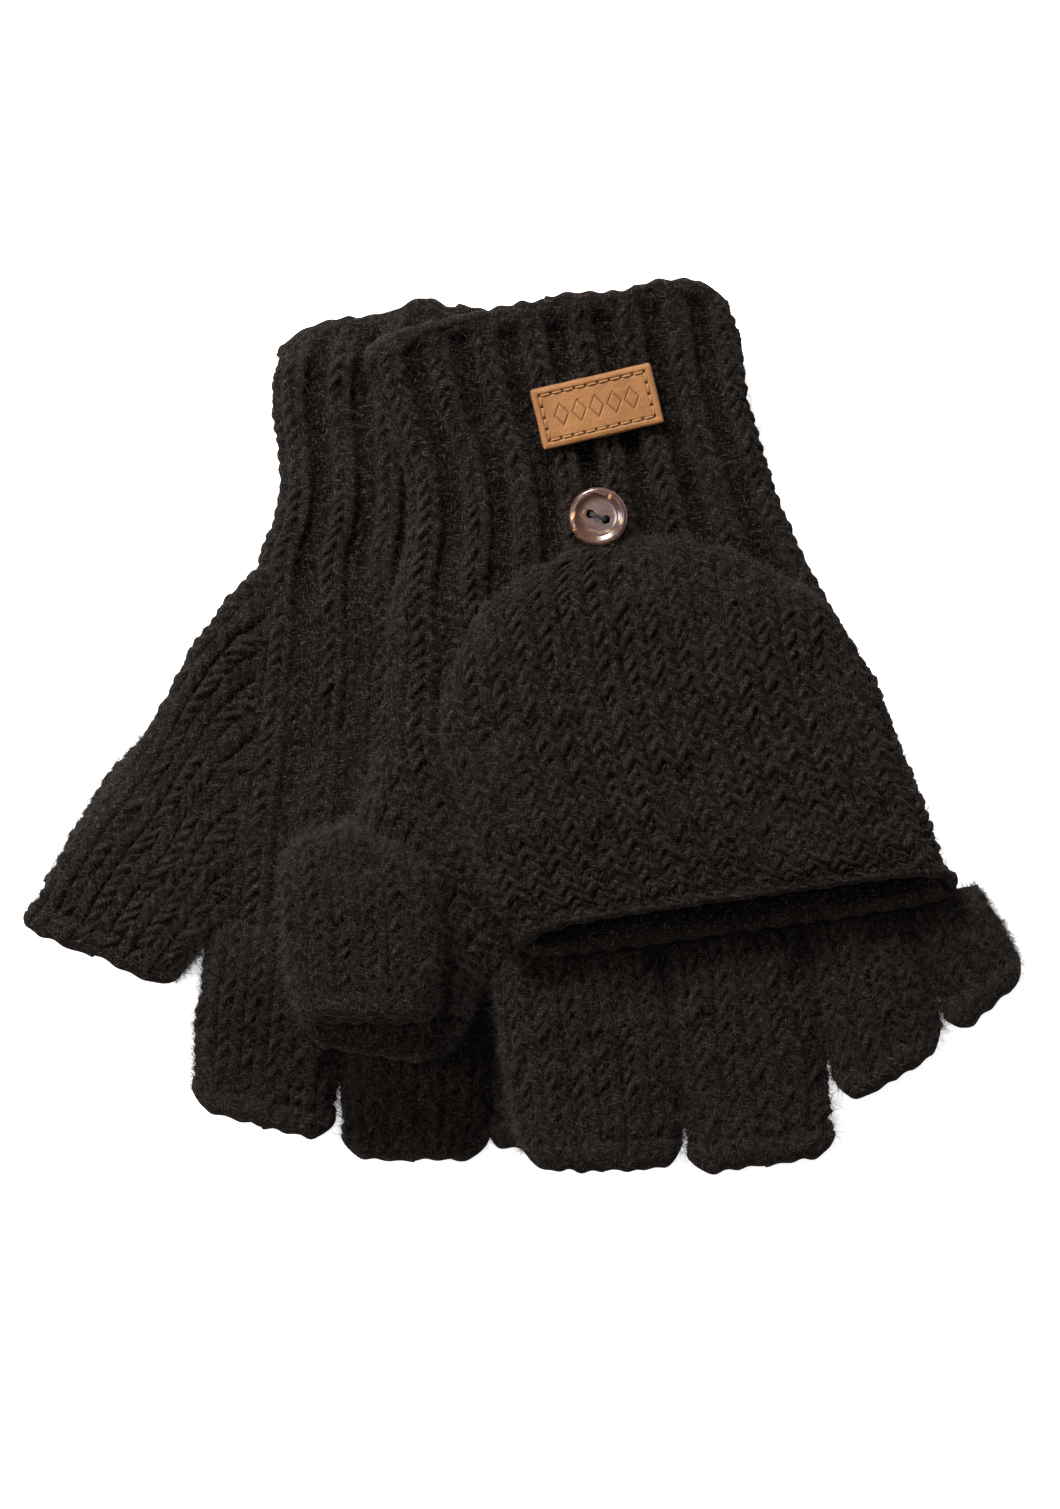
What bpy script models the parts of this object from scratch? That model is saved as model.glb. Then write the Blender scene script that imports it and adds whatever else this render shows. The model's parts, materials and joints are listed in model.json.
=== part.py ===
"""Pair of hand-knitted convertible mittens, lying flat one on the other.

The right mitten lies palm up on the surface, with its folded flip cap under it.
The left mitten lies on it with the back of the hand up, its flip cap folded back
over the hand and looped over the cuff button, and its thumb cap folded back too.
Fingers point towards -Y. Every knitted piece is a tube or a panel of real wall
thickness, open where the hand, the fingers or the thumb go in.

Plan positions are in millimetres, with X to the right, Y towards the cuffs and
Z up from the surface the pair lies on.
"""
import bpy
import bmesh
import math
from mathutils import Vector, Matrix

MM = 0.001

# ---- driving dimensions (mm) -------------------------------------------------
WALL = 2.0            # thickness of the knitted fabric
GAP = 0.3             # clearance between neighbouring pieces
RIGHT_THICK = 8.6     # right hand, both layers and the room inside, thumb side
RIGHT_THICK_EDGE = 6.0  # the same at the little finger side, pressed by the left mitten
RIGHT_CAP = 8.6       # folded right flip cap, thumb side
RIGHT_CAP_EDGE = 6.8  # the same at the little finger side
LEFT_THICK = 10.0     # left hand, both layers and the room inside
CAP_HEIGHT = 8.2      # height of the domed panel of a flip cap over its flat panel
THUMB_THICK = 9.6
THUMB_CAP_HEIGHT = 6.6
FINGER_THICK = 10.4
LEFT_SLOPE = 0.141    # the left mitten slopes down from the right one to the surface
LEFT_HEIGHT = 22.4    # underside of the left mitten at x = -20
BUTTON_R, BUTTON_T = 7.4, 3.0
BUTTON_HOLE_R, BUTTON_HOLE_X = 1.15, 2.1
BUTTON_LIFT = 2.9     # shank length between the cuff and the button
LABEL_W, LABEL_H, LABEL_T = 31.0, 15.5, 1.6
LOOP_R = 0.9          # radius of the loop's cord
CENTRE = (-0.05, 1.4) # plan offset that puts the origin under the middle of the pair


# ---- collections -------------------------------------------------------------
for o in list(bpy.data.objects):
    bpy.data.objects.remove(o, do_unlink=True)
for c in list(bpy.data.collections):
    bpy.data.collections.remove(c)
PARTS = bpy.data.collections.new("convertible_mittens")
CUTTERS = bpy.data.collections.new("cutters")
bpy.context.scene.collection.children.link(PARTS)
bpy.context.scene.collection.children.link(CUTTERS)


def material(name, rgb, rough, metal=0.0):
    m = bpy.data.materials.new(name)
    m.use_nodes = True
    b = m.node_tree.nodes["Principled BSDF"]
    b.inputs["Base Color"].default_value = (*rgb, 1)
    b.inputs["Roughness"].default_value = rough
    b.inputs["Metallic"].default_value = metal
    m.diffuse_color = (*rgb, 1)
    return m


WOOL = material("charcoal_wool", (0.018, 0.014, 0.012), 0.95)
COCO = material("coconut_shell", (0.16, 0.075, 0.05), 0.25)
HIDE = material("tan_leather", (0.52, 0.28, 0.12), 0.55)
THREAD = material("black_thread", (0.02, 0.02, 0.025), 0.8)
TANTHREAD = material("tan_thread", (0.62, 0.38, 0.2), 0.8)


# ---- heights -----------------------------------------------------------------
def clamp01(t):
    return max(0.0, min(1.0, t))


def smooth(t):
    t = clamp01(t)
    return t * t * (3 - 2 * t)


def right_cap_thick(x):
    return RIGHT_CAP + (RIGHT_CAP_EDGE - RIGHT_CAP) * clamp01((x + 74) / 112)


def right_under(x, y):
    """Underside of the right hand: it lies on its own folded cap and sags past it."""
    base = GAP + right_cap_thick(x)
    if y > 44:
        return base + (4.9 - base) * smooth((y - 44) / 50) - 4.9 * smooth((y - 91.5) / 10)
    if y < -55:
        return base - base * smooth((-55 - y) / 44)
    return base


def right_thick(x):
    return RIGHT_THICK + (RIGHT_THICK_EDGE - RIGHT_THICK) * smooth((x + 40) / 75)


def left_plane(x):
    return LEFT_HEIGHT - LEFT_SLOPE * (x + 20)


def left_under(x, y):
    """Underside of the left mitten: one sloping plane, with a little sag at the ends."""
    z = left_plane(x)
    if y > 44:
        z -= 2.3 * smooth((y - 44) / 60)
    if y < -62:
        z -= 1.0 * smooth((-62 - y) / 50) * clamp01((110 - x) / 70)
    return z


def left_thumb_under(x, y):
    return 21.3 + 0.06 * (y + 50)


def right_thumb_under(x, y):
    """The right thumb lies flat on its own folded thumb cap."""
    return GAP + 8.6


# ---- building blocks -----------------------------------------------------------
def finish(name, mesh, mat, smooth_angle=40):
    ob = bpy.data.objects.new(name, mesh)
    PARTS.objects.link(ob)
    mesh.materials.append(mat)
    mesh.shade_smooth()
    mesh.set_sharp_from_angle(angle=math.radians(smooth_angle))
    return ob


def ring(L, R, under, thick, arc=4, flat=4):
    """Flattened tube section from plan point L to R, standing on the height under."""
    L, R = Vector(L), Vector(R)
    w = (R - L).length
    out = []

    def point(s, phi, r):
        p = L.lerp(R, s / w)
        out.append((p.x, p.y, under(p.x, p.y) + r + r * math.sin(phi)))

    def radius(s):
        p = L.lerp(R, s / w)
        return (thick(p.x) if callable(thick) else thick) / 2

    ra, rb = radius(0), radius(w)
    for i in range(arc + 1):
        phi = math.pi / 2 + math.pi * i / arc
        point(ra + ra * math.cos(phi), phi, radius(ra))
    for i in range(1, flat):
        s = ra + (w - ra - rb) * i / flat
        point(s, -math.pi / 2, radius(s))
    for i in range(arc + 1):
        phi = -math.pi / 2 + math.pi * i / arc
        point(w - rb + rb * math.cos(phi), phi, radius(w - rb))
    for i in range(1, flat):
        s = w - rb - (w - ra - rb) * i / flat
        point(s, math.pi / 2, radius(s))
    return out


def solidify(ob, t):
    m = ob.modifiers.new("fabric", "SOLIDIFY")
    m.thickness = t * MM
    m.offset = -1
    m.use_even_offset = True
    m.use_quality_normals = True
    return ob


def shell(name, rings, closed, mat=WOOL, skip=(), end_wall=False, outward=None):
    """Open surface through the rings, thickened inwards to the fabric's thickness."""
    bm = bmesh.new()
    rows = [[bm.verts.new(Vector(p) * MM) for p in r] for r in rings]
    n = len(rows[0])
    span = n if closed else n - 1
    for k in range(len(rows) - 1):
        for i in range(span):
            if (k, i) in skip:
                continue
            j = (i + 1) % n
            bm.faces.new((rows[k][i], rows[k][j], rows[k + 1][j], rows[k + 1][i]))
    if end_wall:
        bm.faces.new(rows[-1])
    bmesh.ops.recalc_face_normals(bm, faces=bm.faces)
    bm.normal_update()
    mid = sum((v.co for v in bm.verts), Vector()) / len(bm.verts)
    if outward is None:
        score = sum((f.calc_center_median() - mid).z * f.normal.z for f in bm.faces)
    else:
        score = sum(f.normal.dot(Vector(outward)) * f.calc_area() for f in bm.faces)
    if score < 0:
        bmesh.ops.reverse_faces(bm, faces=bm.faces)
    mesh = bpy.data.meshes.new(name)
    bm.to_mesh(mesh)
    bm.free()
    return solidify(finish(name, mesh, mat), WALL)


def tube(name, rows, under, thick, skip=()):
    return shell(name, [ring(L, R, under, t if t else thick) for L, R, t in rows],
                 True, skip=skip)


def arch(L, R, rim, height, sign, arc=3, flat=4):
    """Section of a domed panel from rim to rim, rising by height (sign +1 up, -1 down)."""
    L, R = Vector(L), Vector(R)
    w = (R - L).length
    out = []

    def put(s, q):
        p = L.lerp(R, s / w)
        h = height(p.x) if callable(height) else height
        out.append((p.x, p.y, rim(p.x, p.y) + sign * h * q))

    a = min(5.5, w * 0.3)
    put(0, 0)
    for i in range(arc + 1):
        f = math.pi / 2 * i / arc
        put(a - a * math.cos(f), 0.2 + 0.8 * math.sin(f))
    for i in range(1, flat):
        put(a + (w - 2 * a) * i / flat, 1)
    for i in range(arc + 1):
        f = math.pi / 2 * (1 - i / arc)
        put(w - a + a * math.cos(f), 0.2 + 0.8 * math.sin(f))
    put(w, 0)
    return out


def dome(name, rows, rim, height, sign):
    """Domed panel of a flip cap: open at its mouth, walled at its rounded end."""
    rings = []
    for k, (L, R, q) in enumerate(rows):
        h = (lambda x, q=q: height(x) * q) if callable(height) else height * q
        rings.append(arch(L, R, rim, h, sign))
    return shell(name, rings, False, end_wall=True, outward=(0, 0, sign))


def curve_mesh(name, cu):
    ob = bpy.data.objects.new(name, cu)
    PARTS.objects.link(ob)
    bpy.context.view_layer.update()
    dg = bpy.context.evaluated_depsgraph_get()
    mesh = bpy.data.meshes.new_from_object(ob.evaluated_get(dg))
    bm = bmesh.new()
    bm.from_mesh(mesh)
    bmesh.ops.remove_doubles(bm, verts=bm.verts, dist=0.00001)
    bmesh.ops.dissolve_degenerate(bm, edges=bm.edges, dist=0.000001)
    bmesh.ops.recalc_face_normals(bm, faces=bm.faces)
    bm.to_mesh(mesh)
    bm.free()
    bpy.data.objects.remove(ob, do_unlink=True)
    return mesh


def plate(name, outline, low, thickness, mat=WOOL):
    """Flat panel cut to a plan outline, laid on the sloping height low."""
    cu = bpy.data.curves.new(name, "CURVE")
    cu.dimensions = "2D"
    cu.fill_mode = "BOTH"
    cu.extrude = thickness / 2 * MM
    sp = cu.splines.new("POLY")
    sp.points.add(len(outline) - 1)
    for p, (x, y) in zip(sp.points, outline):
        p.co = (x * MM, y * MM, 0, 1)
    sp.use_cyclic_u = True
    mesh = curve_mesh(name, cu)
    for v in mesh.vertices:
        v.co.z += (low(v.co.x / MM, v.co.y / MM) + thickness / 2) * MM
    return finish(name, mesh, mat, 30)


def wire(name, points, radius, mat, cyclic=False, res=2):
    cu = bpy.data.curves.new(name, "CURVE")
    cu.dimensions = "3D"
    cu.bevel_depth = radius * MM
    cu.bevel_resolution = res
    cu.use_fill_caps = not cyclic
    sp = cu.splines.new("POLY")
    sp.points.add(len(points) - 1)
    for p, c in zip(sp.points, points):
        p.co = (c[0] * MM, c[1] * MM, c[2] * MM, 1)
    sp.use_cyclic_u = cyclic
    return finish(name, curve_mesh(name, cu), mat, 60)


def outline(rows):
    """Plan outline of a panel, up its left side and down its right one."""
    return [L for L, R, q in rows] + [R for L, R, q in reversed(rows)]


def hung(empty_name, at, direction, pieces):
    """Parent pieces to an empty whose local X lies on the joint's axis."""
    e = bpy.data.objects.new(empty_name, None)
    e.empty_display_size = 0.02
    PARTS.objects.link(e)
    x = Vector(direction).normalized()
    z = Vector((0, 0, 1))
    y = z.cross(x).normalized()
    z = x.cross(y)
    e.matrix_world = Matrix.Translation(Vector(at) * MM) @ Matrix((x, y, z)).transposed().to_4x4()
    bpy.context.view_layer.update()
    for p in pieces:
        p.parent = e
        p.matrix_parent_inverse = e.matrix_world.inverted()
    return e


def button(prefix, x, y, z, up, tilt):
    """Turned button with a dished face and two drilled holes, on a thread shank."""
    prof = [(0.0, -BUTTON_T / 2), (5.4, -BUTTON_T / 2), (6.9, -0.9), (BUTTON_R, 0.1),
            (7.0, 1.1), (6.2, BUTTON_T / 2), (5.2, 1.15), (0.0, 0.95)]
    mesh = bpy.data.meshes.new(prefix + "_button")
    bm = bmesh.new()
    vs = [bm.verts.new((r * MM, 0, h * MM)) for r, h in reversed(prof)]
    for a, b in zip(vs, vs[1:]):
        bm.edges.new((a, b))
    bm.to_mesh(mesh)
    bm.free()
    ob = bpy.data.objects.new(prefix + "_button", mesh)
    PARTS.objects.link(ob)
    s = ob.modifiers.new("turn", "SCREW")
    s.steps = s.render_steps = 28
    s.use_merge_vertices = True
    s.merge_threshold = 0.00001
    cut = []
    for i in (-1, 1):
        bpy.ops.mesh.primitive_cylinder_add(vertices=12, radius=BUTTON_HOLE_R * MM,
                                            depth=8 * MM,
                                            location=(i * BUTTON_HOLE_X * MM, 0, 0))
        c = bpy.context.object
        c.name = "%s_button_drill_%d" % (prefix, i)
        for col in list(c.users_collection):
            col.objects.unlink(c)
        CUTTERS.objects.link(c)
        c.hide_render = True
        c.display_type = "WIRE"
        c.parent = ob
        m = ob.modifiers.new("drill", "BOOLEAN")
        m.operation = "DIFFERENCE"
        m.object = c
        cut.append(c)
    mesh.materials.append(COCO)
    mesh.shade_smooth()
    rot = Matrix.Rotation(math.radians(tilt), 4, "Z")
    if up < 0:
        rot = Matrix.Rotation(math.pi, 4, "X") @ rot
    zc = z + up * (BUTTON_LIFT + BUTTON_T / 2)
    ob.matrix_world = Matrix.Translation(Vector((x, y, zc)) * MM) @ rot
    c, s_ = math.cos(math.radians(tilt)), math.sin(math.radians(tilt)) * up
    h = BUTTON_HOLE_X
    top = BUTTON_LIFT + BUTTON_T - 0.55 + 0.9
    path = [(-1.2, GAP), (-1.4, 1.6), (-h, BUTTON_LIFT), (-h, top - 0.5), (-h + 0.5, top),
            (h - 0.5, top), (h, top - 0.5), (h, BUTTON_LIFT), (1.4, 1.6), (1.2, GAP)]
    wire(prefix + "_button_thread",
         [(x + u * c, y + u * s_, z + up * v) for u, v in path], 0.5, THREAD)
    return ob


def label(prefix, x, y, under, side, turn, low_clear=GAP):
    """Sewn leather label, laid on the cuff's surface, with its border stitching."""
    t = math.radians(turn)
    ex, ey = Vector((math.cos(t), math.sin(t))), Vector((-math.sin(t), math.cos(t)))
    r = 0.8
    pts = []
    for cx, cy, a0 in ((1, -1, -90), (1, 1, 0), (-1, 1, 90), (-1, -1, 180)):
        for i in range(4):
            a = math.radians(a0 + 30 * i)
            q = ex * (cx * (LABEL_W / 2 - r) + r * math.cos(a)) \
                + ey * (cy * (LABEL_H / 2 - r) + r * math.sin(a))
            pts.append((x + q.x, y + q.y))
    base = (lambda a, b: under(a, b) + low_clear) if side > 0 \
        else (lambda a, b: under(a, b) - low_clear - LABEL_T)
    ob = plate(prefix + "_label", pts, base, LABEL_T, HIDE)
    seam = []
    w, h = LABEL_W / 2 - 2.0, LABEL_H / 2 - 2.0
    for cx, cy, nx, ny in ((-1, -1, 8, 0), (1, -1, 0, 4), (1, 1, 8, 0), (-1, 1, 0, 4)):
        for i in range(nx or ny):
            f = i / (nx or ny)
            a = cx * w * (1 - 2 * f) if nx else cx * w
            b = cy * h * (1 - 2 * f) if ny else cy * h
            q = ex * a + ey * b
            px, py = x + q.x, y + q.y
            seam.append((px, py, base(px, py) + (LABEL_T + 0.35 if side > 0 else -0.35)))
    wire(prefix + "_label_stitching", seam, 0.25, TANTHREAD, cyclic=True, res=1)
    return ob


def along(L, R, f):
    return (L[0] + (R[0] - L[0]) * f, L[1] + (R[1] - L[1]) * f)


C = CENTRE


def at(x, y):
    return (x + C[0], y + C[1])


def rows_of(table):
    """Rows of (left x, left y, right x, right y, thickness or None)."""
    return [(at(a, b), at(c, d), e) for a, b, c, d, e in table]


# ---- right mitten, palm up, underneath -----------------------------------------
THUMB_SIDE = {i for i in (1, 2)}          # ring faces at the thumb end of a section
FAR_SIDE = {10, 11}                       # ring faces at the other end


def right_mitten():
    thick = right_thick
    tube("right_cuff", rows_of([
        (-62, 99.9, 29, 102.4, None), (-64, 81.9, 27, 83.9, None),
        (-61.8, 63.6, 26, 65.4, None), (-63, 52, 26, 50, None),
        (-66.5, 43.6, 27.5, 34.4, None)]), right_under, thick)
    tube("right_hand", rows_of([
        (-66.7, 42.9, 27.7, 33.7, None), (-68.5, 21.9, 32.8, 16.9, None),
        (-71.5, -3.1, 37, -4.4, None), (-74.8, -28.1, 40, -25.6, None),
        (-77.5, -53.1, 41.5, -49.4, None)]), right_under, thick,
        skip={(k, i) for k in (1, 2) for i in THUMB_SIDE})
    tube("right_thumb", rows_of([
        (-70.4, 37.0, -79.2, -52.6, 8.6), (-83, 22.1, -80.8, -54.7, 9.0),
        (-96, -3.1, -82, -56, THUMB_THICK), (-109.8, -21.9, -84, -58, THUMB_THICK),
        (-125.5, -48.6, -87.5, -63, THUMB_THICK)]), right_thumb_under, THUMB_THICK)

    L, R = (-77.5, -53.7), (41.5, -50.0)

    def base(x):
        f = (x - L[0]) / (R[0] - L[0])
        return (x, L[1] + (R[1] - L[1]) * f)

    for name, x0, x1, mid, tip, t_mid, t_tip in (
            ("index", -77.3, -45.0, (-80.5, -70.6, -46.3, -76), (-83, -95.5, -48.7, -102.9), 9.6, 10.4),
            ("middle", -44.4, -8.5, (-45.6, -82.5, -8.4, -82.5), (-45.5, -107.5, -10, -108.5), 9.4, 10.4),
            ("ring", -7.9, 21.6, (-7.4, -80.6, 22.0, -78.1), (-8.8, -105.6, 21.5, -101), 8.8, 9.6),
            ("little", 22.2, 41.4, (22.8, -68.1, 42.4, -64.4), (23.4, -84.6, 42.4, -80.6), 8.1, 9.85)):
        b0, b1 = base(x0), base(x1)
        t0 = right_thick((x0 + x1) / 2)
        tube("right_%s_finger" % name, rows_of([
            (*b0, *b1, t0), (*mid, t_mid), (*tip, t_tip)]), right_under, None)

    cap = [(at(-72, -49.4), at(38, -46.1), 1), (at(-70.5, -33.1), at(37, -30.6), 1),
           (at(-68.5, -13.1), at(35, -11.9), 1), (at(-65.5, 6.9), at(31.5, 6.9), 1),
           (at(-59.8, 24.4), at(24.5, 23.9), 1), (at(-47.2, 38.1), at(12.8, 36.9), .92),
           (at(-31, 45.6), at(-3.5, 44.9), .8)]

    def cap_top(x, y):
        return right_cap_thick(x)

    back = plate("right_cap_back", outline(cap), lambda x, y: cap_top(x, y) - WALL, WALL)
    palm = dome("right_cap_palm", cap, lambda x, y: cap_top(x, y) - WALL - GAP,
                lambda x: right_cap_thick(x) - WALL - GAP, -1)
    tcap = [(at(-120, -39.1), at(-81.5, -52.6), 1), (at(-113, -26.1), at(-75.5, -38.1), 1),
            (at(-105, -13.1), at(-72, -23.1), 1), (at(-96, -3.6), at(-72, -10.1), .92),
            (at(-87.2, -0.6), at(-77.2, -3.1), .8)]
    tback = plate("right_thumb_cap_back", outline(tcap), lambda x, y: 8.6 - WALL, WALL)
    tpalm = dome("right_thumb_cap_palm", tcap, lambda x, y: 8.6 - WALL - GAP,
                 8.6 - WALL - GAP, -1)

    bx, by = at(-17, 53.2)
    bz = right_under(bx, by)
    button("right", bx, by, bz, -1, 20)
    loop = wire("right_cap_loop", loop_path(bx, by, bz - 1.35, at(-17, 48.5)[1], -1), LOOP_R, WOOL, cyclic=True)
    label("right", *at(-17, 80.5), right_under, -1, -4, 2.0)

    hx = [(at(-78, -54.4)), (at(42, -50.6))]
    z0 = [cap_top(p[0], p[1]) - WALL / 2 for p in hx]
    d = Vector((hx[0][0] - hx[1][0], hx[0][1] - hx[1][1], z0[0] - z0[1]))
    mid = [(hx[0][i] + hx[1][i]) / 2 for i in (0, 1)] + [(z0[0] + z0[1]) / 2]
    hung("right_cap_axis", mid, d, [back, palm, loop])
    ta, tb = at(-121.5, -41.5), at(-82.5, -55.2)
    d2 = Vector((ta[0] - tb[0], ta[1] - tb[1], 0))
    hung("right_thumb_cap_axis", [(ta[0] + tb[0]) / 2, (ta[1] + tb[1]) / 2, 8.6 - WALL / 2],
         d2, [tback, tpalm])


def loop_path(x, y, z, y_base, up):
    """Oval loop of knitted cord round the button's shank, from the cap's edge."""
    pts = []
    cy = (y + y_base) / 2 + 1.2
    ry = abs(y - y_base) / 2 + 3.4
    for i in range(16):
        a = math.tau * i / 16
        pts.append((x + 3.6 * math.cos(a), cy + ry * math.sin(a), z))
    return pts


# ---- left mitten, back of the hand up, on top ------------------------------------
def left_mitten():
    tube("left_cuff", rows_of([
        (-39, 95.1, 51, 109.2, None), (-34.8, 77.1, 55.5, 86.9, None),
        (-30, 63.6, 59, 71.9, None), (-29.5, 48.4, 64.8, 55.6, None),
        (-33, 31.9, 72, 39.4, None)]), left_under, LEFT_THICK)
    tube("left_hand", rows_of([
        (-33, 31.2, 72.3, 38.7, None), (-34.2, 13.9, 85.5, 14.9, None),
        (-35.6, -4.6, 93, -4.6, None), (-26, -24.5, 100, -21.6, None),
        (-16, -44.5, 107.5, -33.8, None), (-7.5, -61.1, 115.2, -44.4, None)]),
        left_under, LEFT_THICK, skip={(k, i) for k in (2, 3) for i in THUMB_SIDE})
    tube("left_thumb", rows_of([
        (-36.6, -6.2, -9, -61.4, THUMB_THICK), (-42.5, -24, -11, -64.2, THUMB_THICK),
        (-51.5, -38.5, -13.5, -67, THUMB_THICK), (-55.2, -55.6, -16, -71.5, THUMB_THICK),
        (-55.5, -79, -19.5, -84.5, THUMB_THICK)]), left_thumb_under, THUMB_THICK)

    L, R = (-7.5, -61.8), (115.2, -45.1)

    def base(x):
        f = (x - L[0]) / (R[0] - L[0])
        return (x, L[1] + (R[1] - L[1]) * f)

    for name, x0, x1, mid, tip in (
            ("index", -7.3, 35.5, (-3, -83.5, 37.2, -80.6), (1, -110.5, 38.6, -109.5)),
            ("middle", 36.2, 68.5, (38.6, -83.5, 73.3, -75.6), (41.4, -112, 77, -104.5)),
            ("ring", 69.2, 97.0, (74.5, -73.6, 101.2, -64.9), (79.5, -93.6, 104.8, -79.4)),
            ("little", 97.7, 115.2, (102.2, -62.4, 120.2, -53.4), (107, -75.6, 125.6, -62))):
        b0, b1 = base(x0), base(x1)
        tube("left_%s_finger" % name, rows_of([
            (*b0, *b1, LEFT_THICK), (*mid, FINGER_THICK), (*tip, FINGER_THICK)]),
            left_under, None)

    def hand_top(x, y):
        return left_plane(x) + LEFT_THICK

    cap = [(at(-2.5, -55.6), at(106, -40.6), 1), (at(-9.2, -41.1), at(102, -26.9), 1),
           (at(-14.2, -24.4), at(96, -11.9), 1), (at(-18.5, -9.1), at(91, 3.1), 1),
           (at(-20.2, 5.6), at(84.5, 16.9), 1), (at(-14.2, 21.4), at(74.5, 30.6), 1),
           (at(-6, 31.4), at(63.5, 37.4), .95), (at(9, 41.9), at(44, 44.6), .82)]
    back = plate("left_cap_back", outline(cap), lambda x, y: hand_top(x, y) + GAP, WALL)
    palm = dome("left_cap_palm", cap, lambda x, y: hand_top(x, y) + GAP + WALL + GAP,
                CAP_HEIGHT, 1)

    def thumb_top(x, y):
        return left_thumb_under(x, y) + THUMB_THICK

    tcap = [(at(-56.5, -70.1), at(-22.5, -71.1), 1), (at(-59, -53.1), at(-21.2, -55.6), 1),
            (at(-60.5, -38.1), at(-23, -39.4), 1), (at(-56, -28.6), at(-29, -31.1), .92),
            (at(-47.2, -25.4), at(-37.2, -26.1), .8)]
    tback = plate("left_thumb_cap_back", outline(tcap),
                  lambda x, y: thumb_top(x, y) + GAP, WALL)
    tpalm = dome("left_thumb_cap_palm", tcap,
                 lambda x, y: thumb_top(x, y) + GAP + WALL + GAP, THUMB_CAP_HEIGHT, 1)

    bx, by = at(18.5, 52.4)
    bz = left_under(bx, by) + LEFT_THICK
    button("left", bx, by, bz, 1, -20)
    loop = wire("left_cap_loop", loop_path(bx, by, bz + 1.45, at(0, 48.0)[1], 1), LOOP_R, WOOL, cyclic=True)
    label("left", *at(18.2, 80.1), lambda x, y: left_under(x, y) + LEFT_THICK, 1, 13.5, 0.4)

    hx = [at(-4.0, -60.2), at(110.0, -44.6)]
    z0 = [hand_top(p[0], p[1]) + GAP + WALL / 2 for p in hx]
    d = Vector((hx[1][0] - hx[0][0], hx[1][1] - hx[0][1], z0[1] - z0[0]))
    mid = [(hx[0][i] + hx[1][i]) / 2 for i in (0, 1)] + [(z0[0] + z0[1]) / 2]
    hung("left_cap_axis", mid, d, [back, palm, loop])
    ta, tb = at(-57.5, -73.0), at(-20.5, -74.1)
    za, zb = (thumb_top(*p) + GAP + WALL / 2 for p in (ta, tb))
    hung("left_thumb_cap_axis",
         [(ta[0] + tb[0]) / 2, (ta[1] + tb[1]) / 2, (za + zb) / 2],
         (tb[0] - ta[0], tb[1] - ta[1], zb - za), [tback, tpalm])


right_mitten()
left_mitten()
bpy.context.view_layer.update()
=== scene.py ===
import json
import math
import bpy
import bmesh
import numpy as np
from mathutils import Vector, Matrix

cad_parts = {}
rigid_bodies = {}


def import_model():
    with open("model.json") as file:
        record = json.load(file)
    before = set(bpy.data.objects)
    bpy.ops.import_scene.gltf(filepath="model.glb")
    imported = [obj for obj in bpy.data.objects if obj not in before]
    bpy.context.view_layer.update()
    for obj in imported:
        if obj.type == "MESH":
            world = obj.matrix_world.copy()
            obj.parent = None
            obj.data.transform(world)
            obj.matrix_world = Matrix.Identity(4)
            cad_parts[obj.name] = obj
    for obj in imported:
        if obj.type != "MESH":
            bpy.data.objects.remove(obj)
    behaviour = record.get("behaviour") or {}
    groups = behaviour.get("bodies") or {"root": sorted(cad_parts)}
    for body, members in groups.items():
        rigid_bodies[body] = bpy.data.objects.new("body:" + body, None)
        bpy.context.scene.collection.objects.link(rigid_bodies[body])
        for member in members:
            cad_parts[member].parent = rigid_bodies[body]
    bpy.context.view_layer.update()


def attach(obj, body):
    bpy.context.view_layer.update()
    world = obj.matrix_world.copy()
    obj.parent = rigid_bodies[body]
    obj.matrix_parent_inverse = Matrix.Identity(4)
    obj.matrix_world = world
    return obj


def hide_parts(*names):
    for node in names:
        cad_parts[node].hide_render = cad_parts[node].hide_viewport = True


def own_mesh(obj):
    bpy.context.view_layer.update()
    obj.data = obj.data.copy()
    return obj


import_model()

MM = 0.001
C = np.array((-0.05, 1.4))            # layout offset shared with the CAD
WALE, COURSE = 6.7, 3.6               # stitch pitch in mm
WALL = 2.3

scene = bpy.context.scene
scene.view_settings.view_transform = "Standard"
try:
    scene.view_settings.look = "None"
except TypeError:
    pass
scene.view_settings.exposure = 0.0
scene.view_settings.gamma = 1.0

# ---- camera, straight above --------------------------------------------------
cam_data = bpy.data.cameras.new("camera")
cam = bpy.data.objects.new("camera", cam_data)
scene.collection.objects.link(cam)
DIST = 2.2
cam.location = (0.00145, -0.00535, DIST)
cam.rotation_euler = (0, 0, 0)
cam_data.sensor_fit = "HORIZONTAL"
cam_data.sensor_width = 36
cam_data.lens = 36 * (DIST - 0.022) / 0.265
cam_data.clip_start = 0.01
cam_data.clip_end = 20
scene.camera = cam


# ---- small maths ---------------------------------------------------------------
def sstep(t):
    t = np.clip(t, 0, 1)
    return t * t * (3 - 2 * t)


def hash3(i, j, k):
    """Repeatable number from 0 to 1 for whole-number coordinates."""
    n = (i.astype(np.int64) * 73856093) ^ (j.astype(np.int64) * 19349663) ^ (k.astype(np.int64) * 83492791)
    n = (n ^ (n >> 13)) * 1274126177
    n = (n ^ (n >> 16)) & 0xFFFFFF
    return n / float(0xFFFFFF)


def noise(x, y, z=0.0, seed=0):
    """Smooth value noise from -1 to 1."""
    x, y, z = np.broadcast_arrays(np.asarray(x, float), np.asarray(y, float), np.asarray(z, float))
    i, j, k = np.floor(x), np.floor(y), np.floor(z)
    fx, fy, fz = x - i, y - j, z - k
    fx, fy, fz = (f * f * f * (f * (f * 6 - 15) + 10) for f in (fx, fy, fz))
    out = 0
    for a in (0, 1):
        for b in (0, 1):
            for c in (0, 1):
                w = (fx if a else 1 - fx) * (fy if b else 1 - fy) * (fz if c else 1 - fz)
                out = out + w * hash3(i + a + seed * 17, j + b + seed * 5, k + c + seed * 11)
    return out * 2 - 1


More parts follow.
